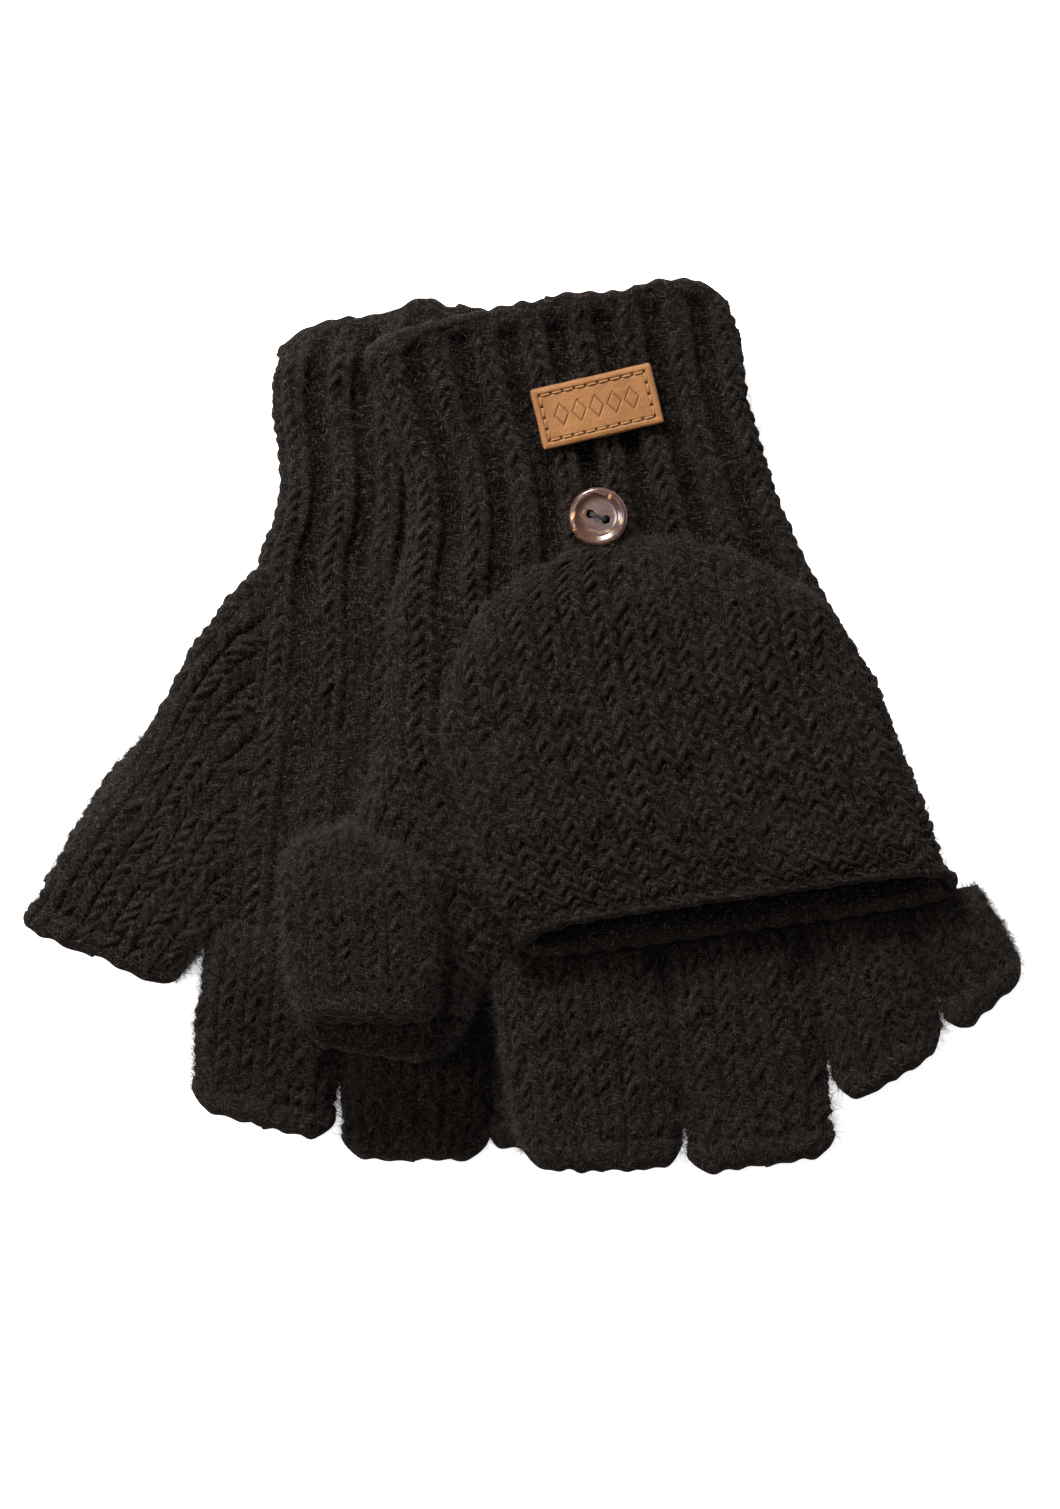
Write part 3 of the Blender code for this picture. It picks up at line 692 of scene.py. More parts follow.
WOOL = wool_material()
FUZZ = fuzz_material()
HIDE = leather_material()
COCO = coconut_material()
TAN = thread_material("tan_waxed_thread", (0.36, 0.17, 0.06))
BLACK = thread_material("black_cotton_thread", (0.012, 0.012, 0.018), 0.6)


# ---- the left mitten, on top ------------------------------------------------------------------
def band(y0, y1, y):
    return sstep((y - y0) / (y1 - y0))


LEFT_H = 10.0
G = {}


def put(ob, body, *nodes, slot="knit_wool"):
    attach(ob, body)
    if nodes:
        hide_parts(*nodes)
    return ob


def left_mitten():
    ob = knit("left_cuff_and_hand_knit", [
        (-39.2, 94.3, 50.2, 111.6, 9.8), (-38.4, 87.5, 53.6, 101.5, 9.7),
        (-34.9, 77.1, 55.4, 86.9, 9.6), (-30.2, 63.6, 59.2, 71.9, 9.6), (-29.6, 48.4, 64.8, 55.6, 9.7),
        (-33.2, 31.9, 72.0, 39.4, 9.8), (-34.2, 13.9, 85.3, 14.9, 9.9),
        (-35.8, -4.6, 93, -4.6, 9.9), (-27.5, -26.5, 100, -21.6, 9.9), (-18.5, -42.5, 105.0, -33.8, 9.8),
        (-10.5, -56.0, 110.0, -42, 9.2), (-7.5, -61.5, 113.5, -45.5, 7.2), (-7.0, -63.6, 113.8, -47.6, 3.2)],
        left_under, step=0.62, wales=32, pattern=ribbed(lambda vv: 1.55 * sstep(vv / 0.045) * (1 - 0.86 * sstep((vv - 0.28) / 0.22))),
        start="rim", end="closed", bead=1.7, seed=11, lumps=0.55, ragged=0.9, band=0.55,
        top_line=lambda x, sx: 2.2 * np.exp(-((x + 6) / 22) ** 2) + 1.3 * np.exp(-((x - 36) / 13) ** 2)
        - 6.0 * np.clip(sx, 0, 1) ** 9 - 2.0 * np.clip(-sx, 0, 1) ** 12)
    put(ob, "left_glove", "left_cuff", "left_hand")
    ob = knit("left_thumb_knit", [
        (-33.5, -2.5, -5.0, -57.5, 8.2), (-37.4, -9.5, -9.5, -61.8, 9.2), (-42.7, -24, -11.3, -64.0, 9.6),
        (-50.5, -38.5, -12.6, -66.5, 9.8), (-54.2, -55.6, -13.6, -71.0, 9.8),
        (-55.5, -68, -16.5, -77.0, 9.6), (-55.0, -76.0, -20.3, -82.0, 9.8)],
        left_thumb_under, wales=12, end="rim", seed=13, lumps=0.4, bead=2.1, pfac=0.42, corner=2.5)
    put(ob, "left_glove", "left_thumb")
    fingers = {
        "index": [(-6.2, -56.5, 34.3, -51.5, 7.6), (-6.4, -62.5, 34.6, -57.5, 9.8),
                  (-3.2, -83.5, 38.0, -80.6, 10.2), (-1.3, -98, 39.4, -97, 10.2), (1.0, -107.5, 38.4, -107.0, 10.6)],
        "middle": [(35.6, -51.5, 67.4, -46.9, 7.6), (36.4, -57.0, 68.6, -52.4, 9.8),
                   (38.3, -83.5, 73.3, -75.6, 10.2), (40.2, -98, 76.0, -92.5, 10.2), (42.4, -109.0, 77.2, -104.0, 10.6)],
        "ring": [(68.6, -46.5, 95.6, -42.9, 7.4), (70.0, -52.0, 97.0, -48.6, 9.8),
                 (75.0, -73.6, 101.2, -64.9, 10.2), (78.6, -87.2, 103.6, -74.5, 10.2), (80.4, -91.6, 104.2, -78.0, 10.4)],
        "little": [(96.5, -42.9, 112.2, -40.0, 7.4), (98.4, -48.5, 115.0, -45.0, 9.4),
                   (102.4, -62.4, 120.0, -53.4, 9.8), (105.5, -70.3, 123.3, -57.8, 10.0), (107.6, -74.2, 124.6, -60.6, 10.2)],
    }
    for k, (f, rows) in enumerate(fingers.items()):
        w = math.hypot(rows[2][2] - rows[2][0], rows[2][3] - rows[2][1])
        ob = knit("left_%s_finger_knit" % f, rows, left_under,
                  wales=2 * max(3, round((w + 4) / WALE)), end="rim", seed=20 + k, lumps=0.5,
                  bead=2.3, pfac=0.36, phase=0.3 * k, corner=3.4, waves=0.6, plump=1.3)
        put(ob, "left_glove", "left_%s_finger" % f)

    def hand_top(x, y):
        return left_plane(x) + LEFT_H + 0.25

    cap = [(-2.5, -55.6, 106, -40.6, 9.4), (-9.2, -41.1, 102, -26.9, 10.6), (-14.2, -24.4, 96.5, -11.9, 10.8),
           (-18.5, -9.1, 91, 3.1, 10.4), (-20.2, 5.6, 84.5, 16.9, 10.0), (-15.2, 20.8, 75.3, 29.8, 9.4),
           (-7.4, 31.0, 63.5, 37.9, 8.4), (3.5, 38.8, 52.0, 43.4, 6.8), (14.0, 44.2, 40.5, 46.4, 4.6),
           (22.0, 46.4, 33.0, 47.0, 2.4)]
    ob = knit("left_flip_cap_knit", cap, hand_top, by_distance=True, wales=32, end="closed",
              start="rim", seed=31, lumps=0.6, shear=8.6, shear_dir=(0.14, 0.99), pfac=0.30,
              course_sign=-1, bead=2.8, band=0.6, course_dir=None, top=0.55)
    put(ob, "left_cap", "left_cap_back", "left_cap_palm")

    def thumb_top(x, y):
        return left_thumb_under(x, y) + 9.6 + 0.2

    tcap = [(-56.0, -70.6, -22.8, -71.3, 8.6), (-58.3, -60, -21.6, -61, 9.0), (-59.4, -50.1, -21.2, -51.6, 9.0),
            (-60.3, -39.1, -22.2, -40.4, 8.8), (-58.4, -31.5, -26.0, -33.4, 8.0), (-53.8, -27.6, -31.5, -29.6, 6.4),
            (-48.5, -25.9, -37.0, -27.0, 4.4), (-44.5, -25.3, -41.0, -25.8, 2.2)]
    ob = knit("left_thumb_cap_knit", tcap, thumb_top, by_distance=True, wales=12, end="closed",
              start="rim", seed=32, lumps=0.4, shear=1.6, shear_dir=(0, 1), pfac=0.34,
              course_sign=-1, bead=2.0, band=0.6, top=0.55)
    put(ob, "left_thumb_cap", "left_thumb_cap_back", "left_thumb_cap_palm")


def right_mitten():
    ob = knit("right_cuff_and_hand_knit", [
        (-61.2, 97.6, 28.7, 104.5, 8.0), (-63.2, 91.0, 28.5, 95.5, 8.2),
        (-63.9, 81.9, 27, 83.9, 8.2), (-61.9, 63.6, 26, 65.4, 8.3), (-63.0, 52, 26.2, 50, 8.4),
        (-66.6, 42.9, 27.7, 33.7, 8.5), (-68.6, 21.9, 32.8, 16.9, 8.5),
        (-71.8, -3.1, 37, -4.4, 8.5), (-75.0, -28.1, 40, -25.6, 8.5), (-77.0, -46.1, 41.0, -42.4, 8.4),
        (-77.8, -53.1, 41.0, -49.6, 6.6), (-77.6, -55.2, 40.6, -51.6, 2.8)],
        right_under, step=0.62, wales=32, pattern=ribbed(lambda vv: 1.5 * sstep(vv / 0.045) * (1 - 0.80 * sstep((vv - 0.30) / 0.24))),
        start="rim", end="closed", bead=1.5, seed=41, lumps=0.5, ragged=1.0, band=0.5,
        top_line=lambda x, sx: 2.2 * np.exp(-((x + 48) / 9) ** 2) + 4.6 * np.exp(-((x + 25) / 13) ** 2)
        - 3.0 * np.clip(-sx, 0, 1) ** 12)
    put(ob, "right_glove", "right_cuff", "right_hand")
    ob = knit("right_thumb_knit", [
        (-62.0, 42.5, -71.5, -46.5, 6.8), (-71.0, 36.0, -79.0, -52.3, 8.6), (-82.2, 21.5, -80.7, -54.6, 9.2),
        (-96, -3.1, -82, -56.4, 9.6), (-109.8, -22.6, -84, -58.2, 9.6), (-119.8, -39.2, -86.3, -61.0, 9.5),
        (-125.0, -47.2, -88.2, -63.4, 9.6)],
        right_thumb_under, wales=12, end="rim", seed=43, lumps=0.4, course_dir=(-0.545, -0.838),
        bead=2.0, pfac=0.42, corner=2.0, waves=0.8)
    put(ob, "right_glove", "right_thumb")
    fingers = {
        "index": [(-77.0, -48.0, -45.0, -48.0, 6.6), (-78.0, -54.0, -45.6, -54.0, 8.8),
                  (-80.6, -70.6, -46.6, -76, 9.6), (-82.3, -84.5, -47.8, -91.5, 9.8), (-82.8, -93.2, -48.9, -101.0, 10.2)],
        "middle": [(-43.5, -48.0, -9.2, -47.0, 6.6), (-44.5, -53.0, -8.6, -52.0, 8.6),
                   (-45.3, -82.5, -8.4, -82.5, 9.4), (-45.4, -96.5, -8.8, -97, 9.8), (-45.0, -105.6, -10.2, -106.6, 10.2)],
        "ring": [(-7.6, -46.5, 20.8, -46.0, 6.4), (-7.9, -52.0, 21.4, -51.0, 8.2),
                 (-7.4, -80.6, 22.0, -78.1, 8.8), (-7.6, -95.2, 21.7, -91.5, 9.2), (-8.3, -103.6, 21.5, -99.0, 9.5)],
        "little": [(22.4, -45.5, 40.5, -45.0, 6.2), (22.5, -51.0, 41.0, -50.0, 7.6),
                   (22.8, -68.1, 42.2, -64.4, 8.0), (23.1, -76.7, 42.3, -73, 9.0), (23.3, -82.6, 42.3, -78.8, 9.3)],
    }
    for k, (f, rows) in enumerate(fingers.items()):
        w = math.hypot(rows[2][2] - rows[2][0], rows[2][3] - rows[2][1])
        ob = knit("right_%s_finger_knit" % f, rows, right_under,
                  wales=2 * max(3, round((w + 4) / WALE)), end="rim", seed=50 + k, lumps=0.5,
                  bead=2.2, pfac=0.36, phase=0.4 * k, corner=3.4, waves=0.6, plump=1.2)
        put(ob, "right_glove", "right_%s_finger" % f)

    def flat(h):
        return lambda x, y: h(x, y)

    cap = [(-72, -49.4, 38, -46.1), (-70.5, -33.1, 37, -30.6), (-68.5, -13.1, 35, -11.9),
           (-65.5, 6.9, 31.5, 6.9), (-60.4, 23.4, 25.3, 23.0), (-51.5, 34.1, 17.5, 33.5),
           (-40.5, 41.6, 6.5, 40.9), (-29.0, 45.8, -5.5, 45.3), (-22.0, 46.4, -12.5, 46.2)]
    hs = (1, 1, 1, 1, .97, .9, .75, .5, .26)
    rows = []
    for (a, b, c, d), q in zip(cap, hs):
        rows.append((a, b, c, d, float(right_cap_thick((a + c) / 2)) * q - 0.3))

    def cap_under(x, y):
        # the folded cap hangs from the plane of the hand's back
        return 0.15 + 0 * x

    ob = knit("right_flip_cap_knit", rows, cap_under, step=0.8, by_distance=True, wales=30, end="closed",
              start="rim", seed=61, lumps=0.35, pfac=0.30, course_sign=-1, bead=1.6, inset=0.55,
              post=lambda V: np.column_stack([V[:, 0], V[:, 1], np.maximum(V[:, 2], 0.02)]))
    put(ob, "right_cap", "right_cap_back", "right_cap_palm")
    tc = [(-120, -39.1, -81.5, -52.6, 8.0), (-116.5, -32.6, -78.5, -45.3, 8.2), (-113, -26.1, -75.5, -38.1, 8.2),
          (-105, -13.1, -72.0, -23.1, 8.0), (-99.5, -6.4, -71.8, -14.5, 7.2), (-94.0, -2.4, -74.0, -8.0, 5.8),
          (-89.2, -0.4, -78.2, -3.8, 3.6), (-86.4, 0.2, -82.4, -1.2, 1.8)]
    ob = knit("right_thumb_cap_knit", tc, cap_under, step=0.8, by_distance=True, wales=12, end="closed",
              start="rim", seed=62, lumps=0.3, pfac=0.34, course_sign=-1, bead=1.5, inset=0.55,
              post=lambda V: np.column_stack([V[:, 0], V[:, 1], np.maximum(V[:, 2], 0.02)]))
    put(ob, "right_thumb_cap", "right_thumb_cap_back", "right_thumb_cap_palm")


right_mitten()
left_mitten()


# ---- loose fibres -----------------------------------------------------------------------------------
def fuzz(ob, P, N, count, seed, lmin=1.0, lmax=5.5, rad=0.042):
    rng = np.random.default_rng(seed)
    n = count
    # favour the rounded sides, where the fibres show against the light
    w = 0.30 + (1 - N[:, 2] ** 2)
    idx = rng.choice(len(P), n, p=w / w.sum())
    p0, n0 = P[idx], N[idx]
    rnd = unit(rng.normal(size=(n, 3)))
    tang = unit(rnd - n0 * (rnd * n0).sum(1, keepdims=True))
    lift = rng.uniform(0.10, 1.0, (n, 1)) ** 1.2
    dirn = unit(tang + n0 * lift)
    ln = lmin + (lmax - lmin) * rng.uniform(0, 1, (n, 1)) ** 2.6
    bend = unit(np.cross(dirn, n0) * rng.normal(size=(n, 1)) + n0 * rng.normal(size=(n, 1)) * 0.6)
    curl = rng.uniform(-0.6, 0.6, (n, 1))
    pts = [p0 - n0 * 0.3 + dirn * ln * t + bend * ln * curl * t * t for t in (0.0, 0.5, 1.0)]
    a = unit(np.cross(dirn, rnd + 1e-3))
    b = np.cross(dirn, a)
    V = []
    for k, t in enumerate((1.0, 0.85)):
        for m in range(3):
            ang = 2.0944 * m
            V.append(pts[k] + (a * math.cos(ang) + b * math.sin(ang)) * rad * t)
    V.append(pts[2])
    V = np.stack(V, 1)                                       # n x 7 x 3
    q = [(m, (m + 1) % 3, 3 + (m + 1) % 3, 3 + m) for m in range(3)]
    tri = [(3 + m, 3 + (m + 1) % 3, 6) for m in range(3)] + [(2, 1, 0)]
    off = (np.arange(n) * 7)[:, None, None]
    F4 = (np.array(q)[None] + off).reshape(-1, 4)
    F3 = (np.array(tri)[None] + off).reshape(-1, 3)
    v = V.reshape(-1, 3).copy()
    v[:, 2] = np.maximum(v[:, 2], 0.03)
    me = make_mesh(ob.name.replace("_knit", "") + "_fuzz", v, F4, F3, {})
    o = bpy.data.objects.new(me.name, me)
    scene.collection.objects.link(o)
    me.materials.append(FUZZ)
    return o


FUZZ_ON = True
if FUZZ_ON:
    for n, (ob, P, N) in enumerate(list(WOOL_PIECES)):
        big = "hand" in ob.name or "flip_cap" in ob.name
        o = fuzz(ob, P, N, 19500 if big else 14500, 100 + n)
        body = "left_glove" if ob.name.startswith("left") else "right_glove"
        if "flip_cap" in ob.name:
            body = body.replace("glove", "cap")
        elif "thumb_cap" in ob.name:
            body = body.replace("glove", "thumb_cap")
        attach(o, body)


# ---- finger and thumb tubes and their fibres get meshes of their own ----------------------------
for o in list(scene.objects):
    if o.type != "MESH" or not o.name.endswith(("_knit", "_fuzz")):
        continue
    if "_finger_" in o.name and o.name.startswith("left"):
        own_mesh(o)
    elif "_finger_" in o.name:
        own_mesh(o)
    elif o.name.startswith("left_thumb_") and "cap" not in o.name:
        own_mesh(o)
    elif o.name.startswith("right_thumb_") and "cap" not in o.name:
        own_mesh(o)


# ---- button, shank thread, loop, label ------------------------------------------------------
def new_object(name, me, material):
    me.name = name
    o = bpy.data.objects.new(name, me)
    scene.collection.objects.link(o)
    me.materials.append(material)
    return o


def sweep(name, pts, radius, material, closed=False, seg=10, ply=0, pitch=2.0, lump=0.0):
    """A tube along points in mm; ply > 0 makes it look plied, with grooves winding round it."""
    p = np.array(pts, float)
    n = len(p)
    t = unit(np.roll(p, -1, 0) - np.roll(p, 1, 0)) if closed else unit(np.gradient(p, axis=0))
    d = np.concatenate([[0], np.cumsum(np.linalg.norm(np.diff(p, axis=0), axis=1))])
    up = np.array((0.0, 0.0, 1.0))
    a = np.zeros_like(p)
    ref = up if abs(t[0] @ up) < 0.9 else np.array((1.0, 0, 0))
    a[0] = unit(np.cross(t[0], ref))
    for k in range(1, n):
        q = a[k - 1] - t[k] * (a[k - 1] @ t[k])
        a[k] = unit(q)
    b = np.cross(t, a)
    th = np.linspace(0, 2 * np.pi, seg, endpoint=False)
    r = np.full((n, seg), radius)
    turns = round(d[-1] / pitch) if closed else d[-1] / pitch
    ph = 2 * np.pi * turns * d / d[-1]
    if ply:
        r = radius * (0.80 + 0.26 * np.abs(np.cos((ply * (th[None] ) + ph[:, None]) / 2)))
    if lump:
        r = r + lump * noise(d[:, None] * 1.3 + 0 * th[None], th[None] * 0.7, 0.3, 4)
    V = (p[:, None] + a[:, None] * (np.cos(th)[None, :, None] * r[:, :, None])
         + b[:, None] * (np.sin(th)[None, :, None] * r[:, :, None])).reshape(-1, 3)
    # colour value from the ply shape: low in the grooves between the plies, painted shade, read by the wool of the cord
    # loop
    crest = np.clip((r / radius - 0.78) * 4, 0, 1).ravel()
    ii = np.arange(seg)
    f = []
    for k in range(n if closed else n - 1):
        m = (k + 1) % n
        f.append(np.stack([k * seg + ii, k * seg + (ii + 1) % seg, m * seg + (ii + 1) % seg, m * seg + ii], 1))
    F4 = np.concatenate(f)
    F3 = np.zeros((0, 3), int)
    if not closed:
        V = np.vstack([V, p[0], p[-1]])
        crest = np.append(crest, (0.5, 0.5))
        c0 = n * seg
        F3 = np.concatenate([np.stack([np.full(seg, c0), (ii + 1) % seg, ii], 1),
                             np.stack([np.full(seg, c0 + 1), (n - 1) * seg + ii, (n - 1) * seg + (ii + 1) % seg], 1)])
    me = make_mesh(name, V, F4[:, ::-1], F3[:, ::-1], {"crest": crest, "tone": crest * 0 + 0.5})
    bm = bmesh.new()
    bm.from_mesh(me)
    bmesh.ops.recalc_face_normals(bm, faces=bm.faces)
    bm.to_mesh(me)
    bm.free()
    return new_object(name, me, material)


def smooth_path(pts, n, closed=False):
    p = np.array(pts, float)
    if closed:
        p = np.vstack([p[-1], p, p[0], p[1]])
        t = np.linspace(1, len(p) - 2, n, endpoint=False)
    else:
        t = np.linspace(0, len(p) - 1, n)
    return catmull(p, t)


BUTTON_R, BUTTON_T, LIFT = 7.4, 3.0, 2.9


def coconut_button(prefix, x, y, z, up, tilt):
    prof = smooth_path([(0.0, 0, 0.72), (2.6, 0, 0.74), (4.5, 0, 0.80), (5.2, 0, 1.02), (5.75, 0, 1.36),
                        (6.35, 0, 1.5), (6.95, 0, 1.3), (7.3, 0, 0.75), (7.4, 0, 0.1), (7.2, 0, -0.55),
                        (6.7, 0, -1.05), (5.6, 0, -1.42), (3.0, 0, -1.5), (0.0, 0, -1.5)], 70)
    prof[0, 0] = prof[-1, 0] = 0
    me = bpy.data.meshes.new(prefix + "_coconut_button")
    bm = bmesh.new()
    vs = [bm.verts.new((max(q[0], 0) * MM, 0, q[2] * MM)) for q in prof]
    es = [bm.edges.new((vs[k], vs[k + 1])) for k in range(len(vs) - 1)]
    bmesh.ops.spin(bm, geom=vs + es, axis=(0, 0, 1), cent=(0, 0, 0), steps=120, angle=math.tau, use_merge=True)
    bmesh.ops.remove_doubles(bm, verts=bm.verts, dist=2e-6)
    # slightly uneven hand-turned surface
    for v in bm.verts:
        w = math.sin(v.co.x * 520 + 1.3) * math.cos(v.co.y * 430 - 0.4)
        v.co.z += 0.00004 * w
    bmesh.ops.recalc_face_normals(bm, faces=bm.faces)
    bm.to_mesh(me)
    bm.free()
    o = new_object(prefix + "_coconut_button", me, COCO)
    cuts = []
    for k in (-1, 1):
        cb = bmesh.new()
        bmesh.ops.create_cone(cb, cap_ends=True, segments=40, radius1=0.98 * MM, radius2=0.98 * MM, depth=8 * MM)
        cm = bpy.data.meshes.new("drill")
        cb.to_mesh(cm)
        cb.free()
        c = bpy.data.objects.new("drill", cm)
        scene.collection.objects.link(c)
        c.location = (k * 2.1 * MM, 0, 0)
        cuts.append(c)
        md = o.modifiers.new("drill", "BOOLEAN")
        md.operation, md.object, md.solver = "DIFFERENCE", c, "EXACT"
    bpy.context.view_layer.update()
    done = bpy.data.meshes.new_from_object(o.evaluated_get(bpy.context.evaluated_depsgraph_get()))
    o.modifiers.clear()
    o.data = done
    for c in cuts:
        bpy.data.objects.remove(c)
    bev = bmesh.new()
    bev.from_mesh(done)
    sharp = [e for e in bev.edges if len(e.link_faces) == 2 and e.calc_face_angle(0) > 0.9]
    bmesh.ops.bevel(bev, geom=sharp, offset=0.00016, segments=2, affect="EDGES", profile=0.5)
    bev.to_mesh(done)
    bev.free()
    done.shade_smooth()
    rot = Matrix.Rotation(math.radians(tilt), 4, "Z")
    if up < 0:
        rot = Matrix.Rotation(math.pi, 4, "X") @ rot
    o.matrix_world = Matrix.Translation(Vector((x, y, z + up * (LIFT + BUTTON_T / 2))) * MM) @ rot
    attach(o, prefix + "_glove")
    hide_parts(prefix + "_button")
    # thread through the two holes, three strands side by side
    c, s_ = math.cos(math.radians(tilt)), math.sin(math.radians(tilt)) * up
    strands = []
    for k, off in enumerate((-0.34, 0.0, 0.33)):
        h = 2.1
        top = LIFT + BUTTON_T - 0.75 + 0.45 + 0.12 * (k == 1)
        path = [(-1.2, 0.2), (-1.5, 1.6), (-h, LIFT), (-h, top - 0.7), (-h + 0.55, top), (0, top + 0.10),
                (h - 0.55, top), (h, top - 0.7), (h, LIFT), (1.5, 1.6), (1.2, 0.2)]
        q = smooth_path([(x + u * c - off * s_, y + u * s_ + off * c, z + up * w) for u, w in path], 90)
        strands.append(sweep("%s_shank_strand_%d" % (prefix, k), q, 0.20, BLACK, seg=8, ply=2, pitch=1.1))
    wrap = []
    for k in range(160):
        a = k / 160 * 5 * math.tau
        hgt = 0.3 + (LIFT - 0.5) * k / 160
        wrap.append((x + 1.35 * math.cos(a), y + 1.35 * math.sin(a), z + up * hgt))
    strands.append(sweep(prefix + "_shank_wrap", wrap, 0.26, BLACK, seg=8))
    for o2 in strands:
        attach(o2, prefix + "_glove")
    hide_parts(prefix + "_button_thread")


def cord_loop(prefix, x, y, z, y_base, z_base=None, reach=0.0):
    """Loop of knitted cord from the cap's tip, round the shank of the button. Where the tip lies lower than the
    shank, the loop's root reaches into the tip at z_base."""
    cy, ry = (y + y_base) / 2 + 1.2 - reach / 2, abs(y - y_base) / 2 + 3.4 + reach / 2
    pts = []
    for k in range(16):
        py = cy + ry * math.sin(math.tau * k / 16)
        pz = z if z_base is None else z_base + (z - z_base) * float(sstep((py - cy + ry) / 3.4))
        pts.append((x + 3.6 * math.cos(math.tau * k / 16), py, pz))
    o = sweep(prefix + "_cap_cord", smooth_path(pts, 150, True), 0.95, WOOL, closed=True, seg=14, ply=2,
              pitch=1.9, lump=0.08)
    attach(o, prefix + "_cap")
    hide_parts(prefix + "_cap_loop")
    return o


def capsule(px, py, ax, ay, bx, by):
    dx, dy = bx - ax, by - ay
    t = np.clip(((px - ax) * dx + (py - ay) * dy) / (dx * dx + dy * dy), 0, 1)
    return np.hypot(px - ax - dx * t, py - ay - dy * t)


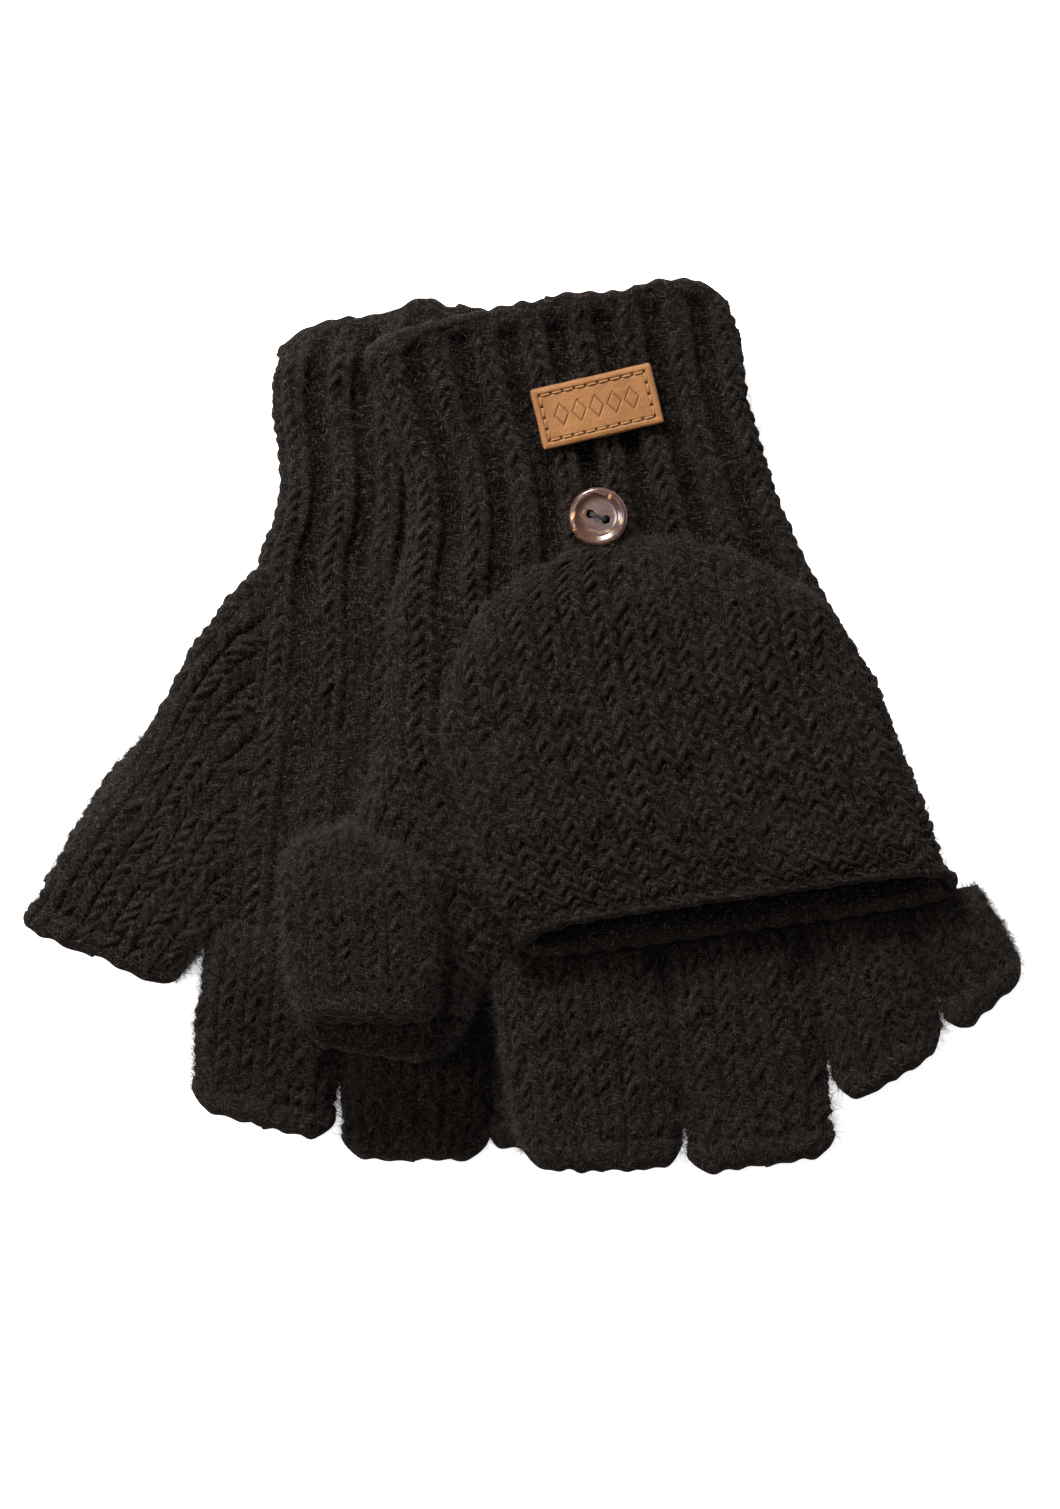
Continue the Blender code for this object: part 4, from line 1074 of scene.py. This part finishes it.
def leather_label(prefix, x, y, inner, side, turn):
    """Leather patch with a stitched border and a stamped row of diamonds."""
    t = math.radians(turn)
    ex = np.array((math.cos(t), math.sin(t)))
    ey = np.array((-math.sin(t), math.cos(t)))
    W, Hh, T, r = 31.0, 15.5, 1.6, 0.9
    nx, ny = 300, 150
    u = np.linspace(-1, 1, nx)
    w = np.linspace(-1, 1, ny)
    U, Wg = np.meshgrid(u, w, indexing="ij")
    A, B = U * W / 2, Wg * Hh / 2
    # pull the corners in to a small radius, and let the cut edges waver a little
    qx, qy = np.abs(A) - (W / 2 - r), np.abs(B) - (Hh / 2 - r)
    inside = (qx > 0) & (qy > 0)
    ln = np.hypot(qx, qy)
    mx = np.maximum(np.maximum(qx, qy), 1e-6)
    sc = np.where(inside, mx / np.maximum(ln, 1e-6), 1.0)
    A = np.where(inside, np.sign(A) * (W / 2 - r + qx * sc), A)
    B = np.where(inside, np.sign(B) * (Hh / 2 - r + qy * sc), B)
    A = A + 0.09 * noise(B * 0.4, 0.3, 0.1, 3) * np.abs(U) ** 8
    B = B + 0.09 * noise(A * 0.3, 1.3, 0.1, 5) * np.abs(Wg) ** 8
    edge = np.minimum(W / 2 - np.abs(A), Hh / 2 - np.abs(B))
    Z = np.zeros_like(A)
    Z -= 0.42 * np.clip(1 - edge / 0.55, 0, 1) ** 2                         # rounded cut edge
    Z += 0.16 * np.exp(-((edge - 1.15) / 0.55) ** 2)                        # welt outside the seam
    Z -= 0.20 * np.exp(-((edge - 2.05) / 0.34) ** 2)                        # seam pressed in
    # needle holes
    holes = []
    sx, sy = W / 2 - 2.05, Hh / 2 - 2.05
    for k in range(10):
        f = -1 + 2 * k / 9
        holes += [(f * sx, sy), (f * sx, -sy)]
    for k in range(1, 4):
        f = -1 + 2 * k / 4
        holes += [(sx, f * sy), (-sx, f * sy)]
    hd = np.full_like(A, 9.0)
    for hx, hy in holes:
        hd = np.minimum(hd, np.hypot(A - hx, B - hy))
    Z -= 0.55 * np.exp(-(hd / 0.33) ** 2)
    # stamped motif: five outlined diamonds
    d = np.full_like(A, 9.0)
    for k in (-2, -1, 0, 1, 2):
        d = np.minimum(d, (np.abs(A - k * 4.5) / 1.75 + np.abs(B) / 2.7 - 1) * 1.47)
    line = np.exp(-(np.abs(d) / 0.20) ** 2)
    Z -= 0.24 * line
    Z += 0.05 * (d < 0)
    Z += 0.05 * noise(A * 0.35, B * 0.5, 0.2, 8) + 0.02 * noise(A * 3, B * 3, 0.6, 9)
    wear = np.clip(0.75 * np.clip(1 - edge / 0.45, 0, 1) + 0.55 * line + 0.9 * np.exp(-(hd / 0.36) ** 2)
                   + 0.22 * np.exp(-((edge - 2.05) / 0.34) ** 2), 0, 1)
    X = x + A * ex[0] + B * ey[0]
    Y = y + A * ex[1] + B * ey[1]
    base = inner(X, Y)
    top = np.stack([X, Y, base + side * (T + Z)], -1).reshape(-1, 3)
    bot = np.stack([X, Y, base + side * 0.0 * Z], -1).reshape(-1, 3)
    V = np.vstack([top, bot])
    n = nx * ny
    idx = np.arange(n).reshape(nx, ny)
    q = np.stack([idx[:-1, :-1], idx[1:, :-1], idx[1:, 1:], idx[:-1, 1:]], -1).reshape(-1, 4)
    ring = np.concatenate([idx[:, 0], idx[-1, 1:], idx[::-1, -1][1:], idx[0, ::-1][1:-1]])
    nxt = np.roll(ring, -1)
    skirt = np.stack([ring + n, nxt + n, nxt, ring], 1)
    F = np.vstack([q, q[:, ::-1] + n, skirt])
    if side < 0:
        F = F[:, ::-1]
    me = make_mesh(prefix + "_leather_label", V, F, np.zeros((0, 3), int),
                   {"wear": np.concatenate([wear.ravel(), np.ones(n)])})
    o = new_object(prefix + "_leather_label", me, HIDE)
    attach(o, prefix + "_glove")
    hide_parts(prefix + "_label")

    # border stitches between the holes
    def at3(a, b, h):
        px, py = x + a * ex[0] + b * ey[0], y + a * ex[1] + b * ey[1]
        return (px, py, float(inner(np.array(px), np.array(py))) + side * h)
    runs = []
    for s2 in (-1, 1):
        for k in range(9):
            a0, a1 = (-1 + 2 * k / 9) * sx, (-1 + 2 * (k + 1) / 9) * sx
            runs.append(((a0, s2 * sy), (a1, s2 * sy)))
        for k in range(4):
            b0, b1 = (-1 + 2 * k / 4) * sy, (-1 + 2 * (k + 1) / 4) * sy
            runs.append(((s2 * sx, b0), (s2 * sx, b1)))
    parts = []
    for k, ((a0, b0), (a1, b1)) in enumerate(runs):
        seg = []
        for f, h in ((0.10, T - 0.45), (0.17, T - 0.10), (0.30, T + 0.10), (0.5, T + 0.14), (0.70, T + 0.10), (0.83, T - 0.10), (0.90, T - 0.45)):
            seg.append(at3(a0 + (a1 - a0) * f, b0 + (b1 - b0) * f, h))
        parts.append(sweep("%s_stitch_%02d" % (prefix, k), smooth_path(seg, 22), 0.23, TAN, seg=8, ply=2, pitch=0.9))
    join = bpy.data.meshes.new(prefix + "_label_seam")
    bm = bmesh.new()
    for q2 in parts:
        bm.from_mesh(q2.data)
    bm.to_mesh(join)
    bm.free()
    for q2 in parts:
        bpy.data.objects.remove(q2)
    join.shade_smooth()
    o = new_object(prefix + "_label_seam", join, TAN)
    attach(o, prefix + "_glove")
    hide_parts(prefix + "_label_stitching")


bx, by = 18.5 + C[0], 52.4 + C[1]
bz = float(left_under(np.array(bx), np.array(by))) + 10.0
coconut_button("left", bx, by, bz, 1, -20)
cord_loop("left", bx, by, bz + 1.45, 48.0 + C[1])
leather_label("left", 18.2 + C[0], 80.1 + C[1], lambda a, b: left_under(a, b) + 10.4, 1, 13.5)
bx, by = -17 + C[0], 53.2 + C[1]
bz = float(right_under(np.array(bx), np.array(by)))
coconut_button("right", bx, by, bz, -1, 20)
cord_loop("right", bx, by, bz - 1.35, 48.5 + C[1], z_base=1.9, reach=3.0)
leather_label("right", -17 + C[0], 80.5 + C[1], lambda a, b: right_under(a, b) - 2.0, -1, -4)

# ---- floor and light -----------------------------------------------------------------------------------
bpy.ops.mesh.primitive_plane_add(size=6, location=(0, 0, 0))
floor = bpy.context.object
floor.name = "floor"
fm, nt, b = mat("white_floor")
b.inputs["Base Color"].default_value = (0.92, 0.92, 0.92, 1)
b.inputs["Emission Color"].default_value = (1, 1, 1, 1)
b.inputs["Emission Strength"].default_value = 0.88
b.inputs["Roughness"].default_value = 0.9
b.inputs["Specular IOR Level"].default_value = 0.1
floor.data.materials.append(fm)

world = bpy.data.worlds.new("studio")
scene.world = world
world.use_nodes = True
world.node_tree.nodes["Background"].inputs[0].default_value = (1, 1, 1, 1)
# a white horizon all round, dimmer overhead
wt = world.node_tree
wc = add(wt, "ShaderNodeTexCoord")
wz = add(wt, "ShaderNodeSeparateXYZ")
wr = add(wt, "ShaderNodeMapRange", interpolation_type="SMOOTHSTEP")
wr.inputs["From Min"].default_value = 0.10
wr.inputs["From Max"].default_value = 0.34
wr.inputs["To Min"].default_value = 1.0
wr.inputs["To Max"].default_value = 0.12
wt.links.new(wc.outputs["Generated"], wz.inputs[0])
wt.links.new(wz.outputs["Z"], wr.inputs["Value"])
wt.links.new(wr.outputs[0], wt.nodes["Background"].inputs[1])


def area(name, loc, target, size, power, colour=(1, 1, 1)):
    d = bpy.data.lights.new(name, "AREA")
    d.shape = "RECTANGLE"
    d.size, d.size_y = size
    d.energy = power
    d.color = colour
    o = bpy.data.objects.new(name, d)
    scene.collection.objects.link(o)
    o.location = loc
    o.rotation_euler = (Vector(target) - Vector(loc)).to_track_quat("-Z", "Y").to_euler()
    return o


area("key", (-0.45, 1.25, 0.92), (0, 0, 0), (0.5, 0.4), 52)
area("front", (-0.24, 0.12, 1.85), (0, 0, 0), (0.22, 0.22), 4.5)
area("side", (-1.3, 0.1, 0.95), (0, 0, 0), (0.45, 0.45), 15)
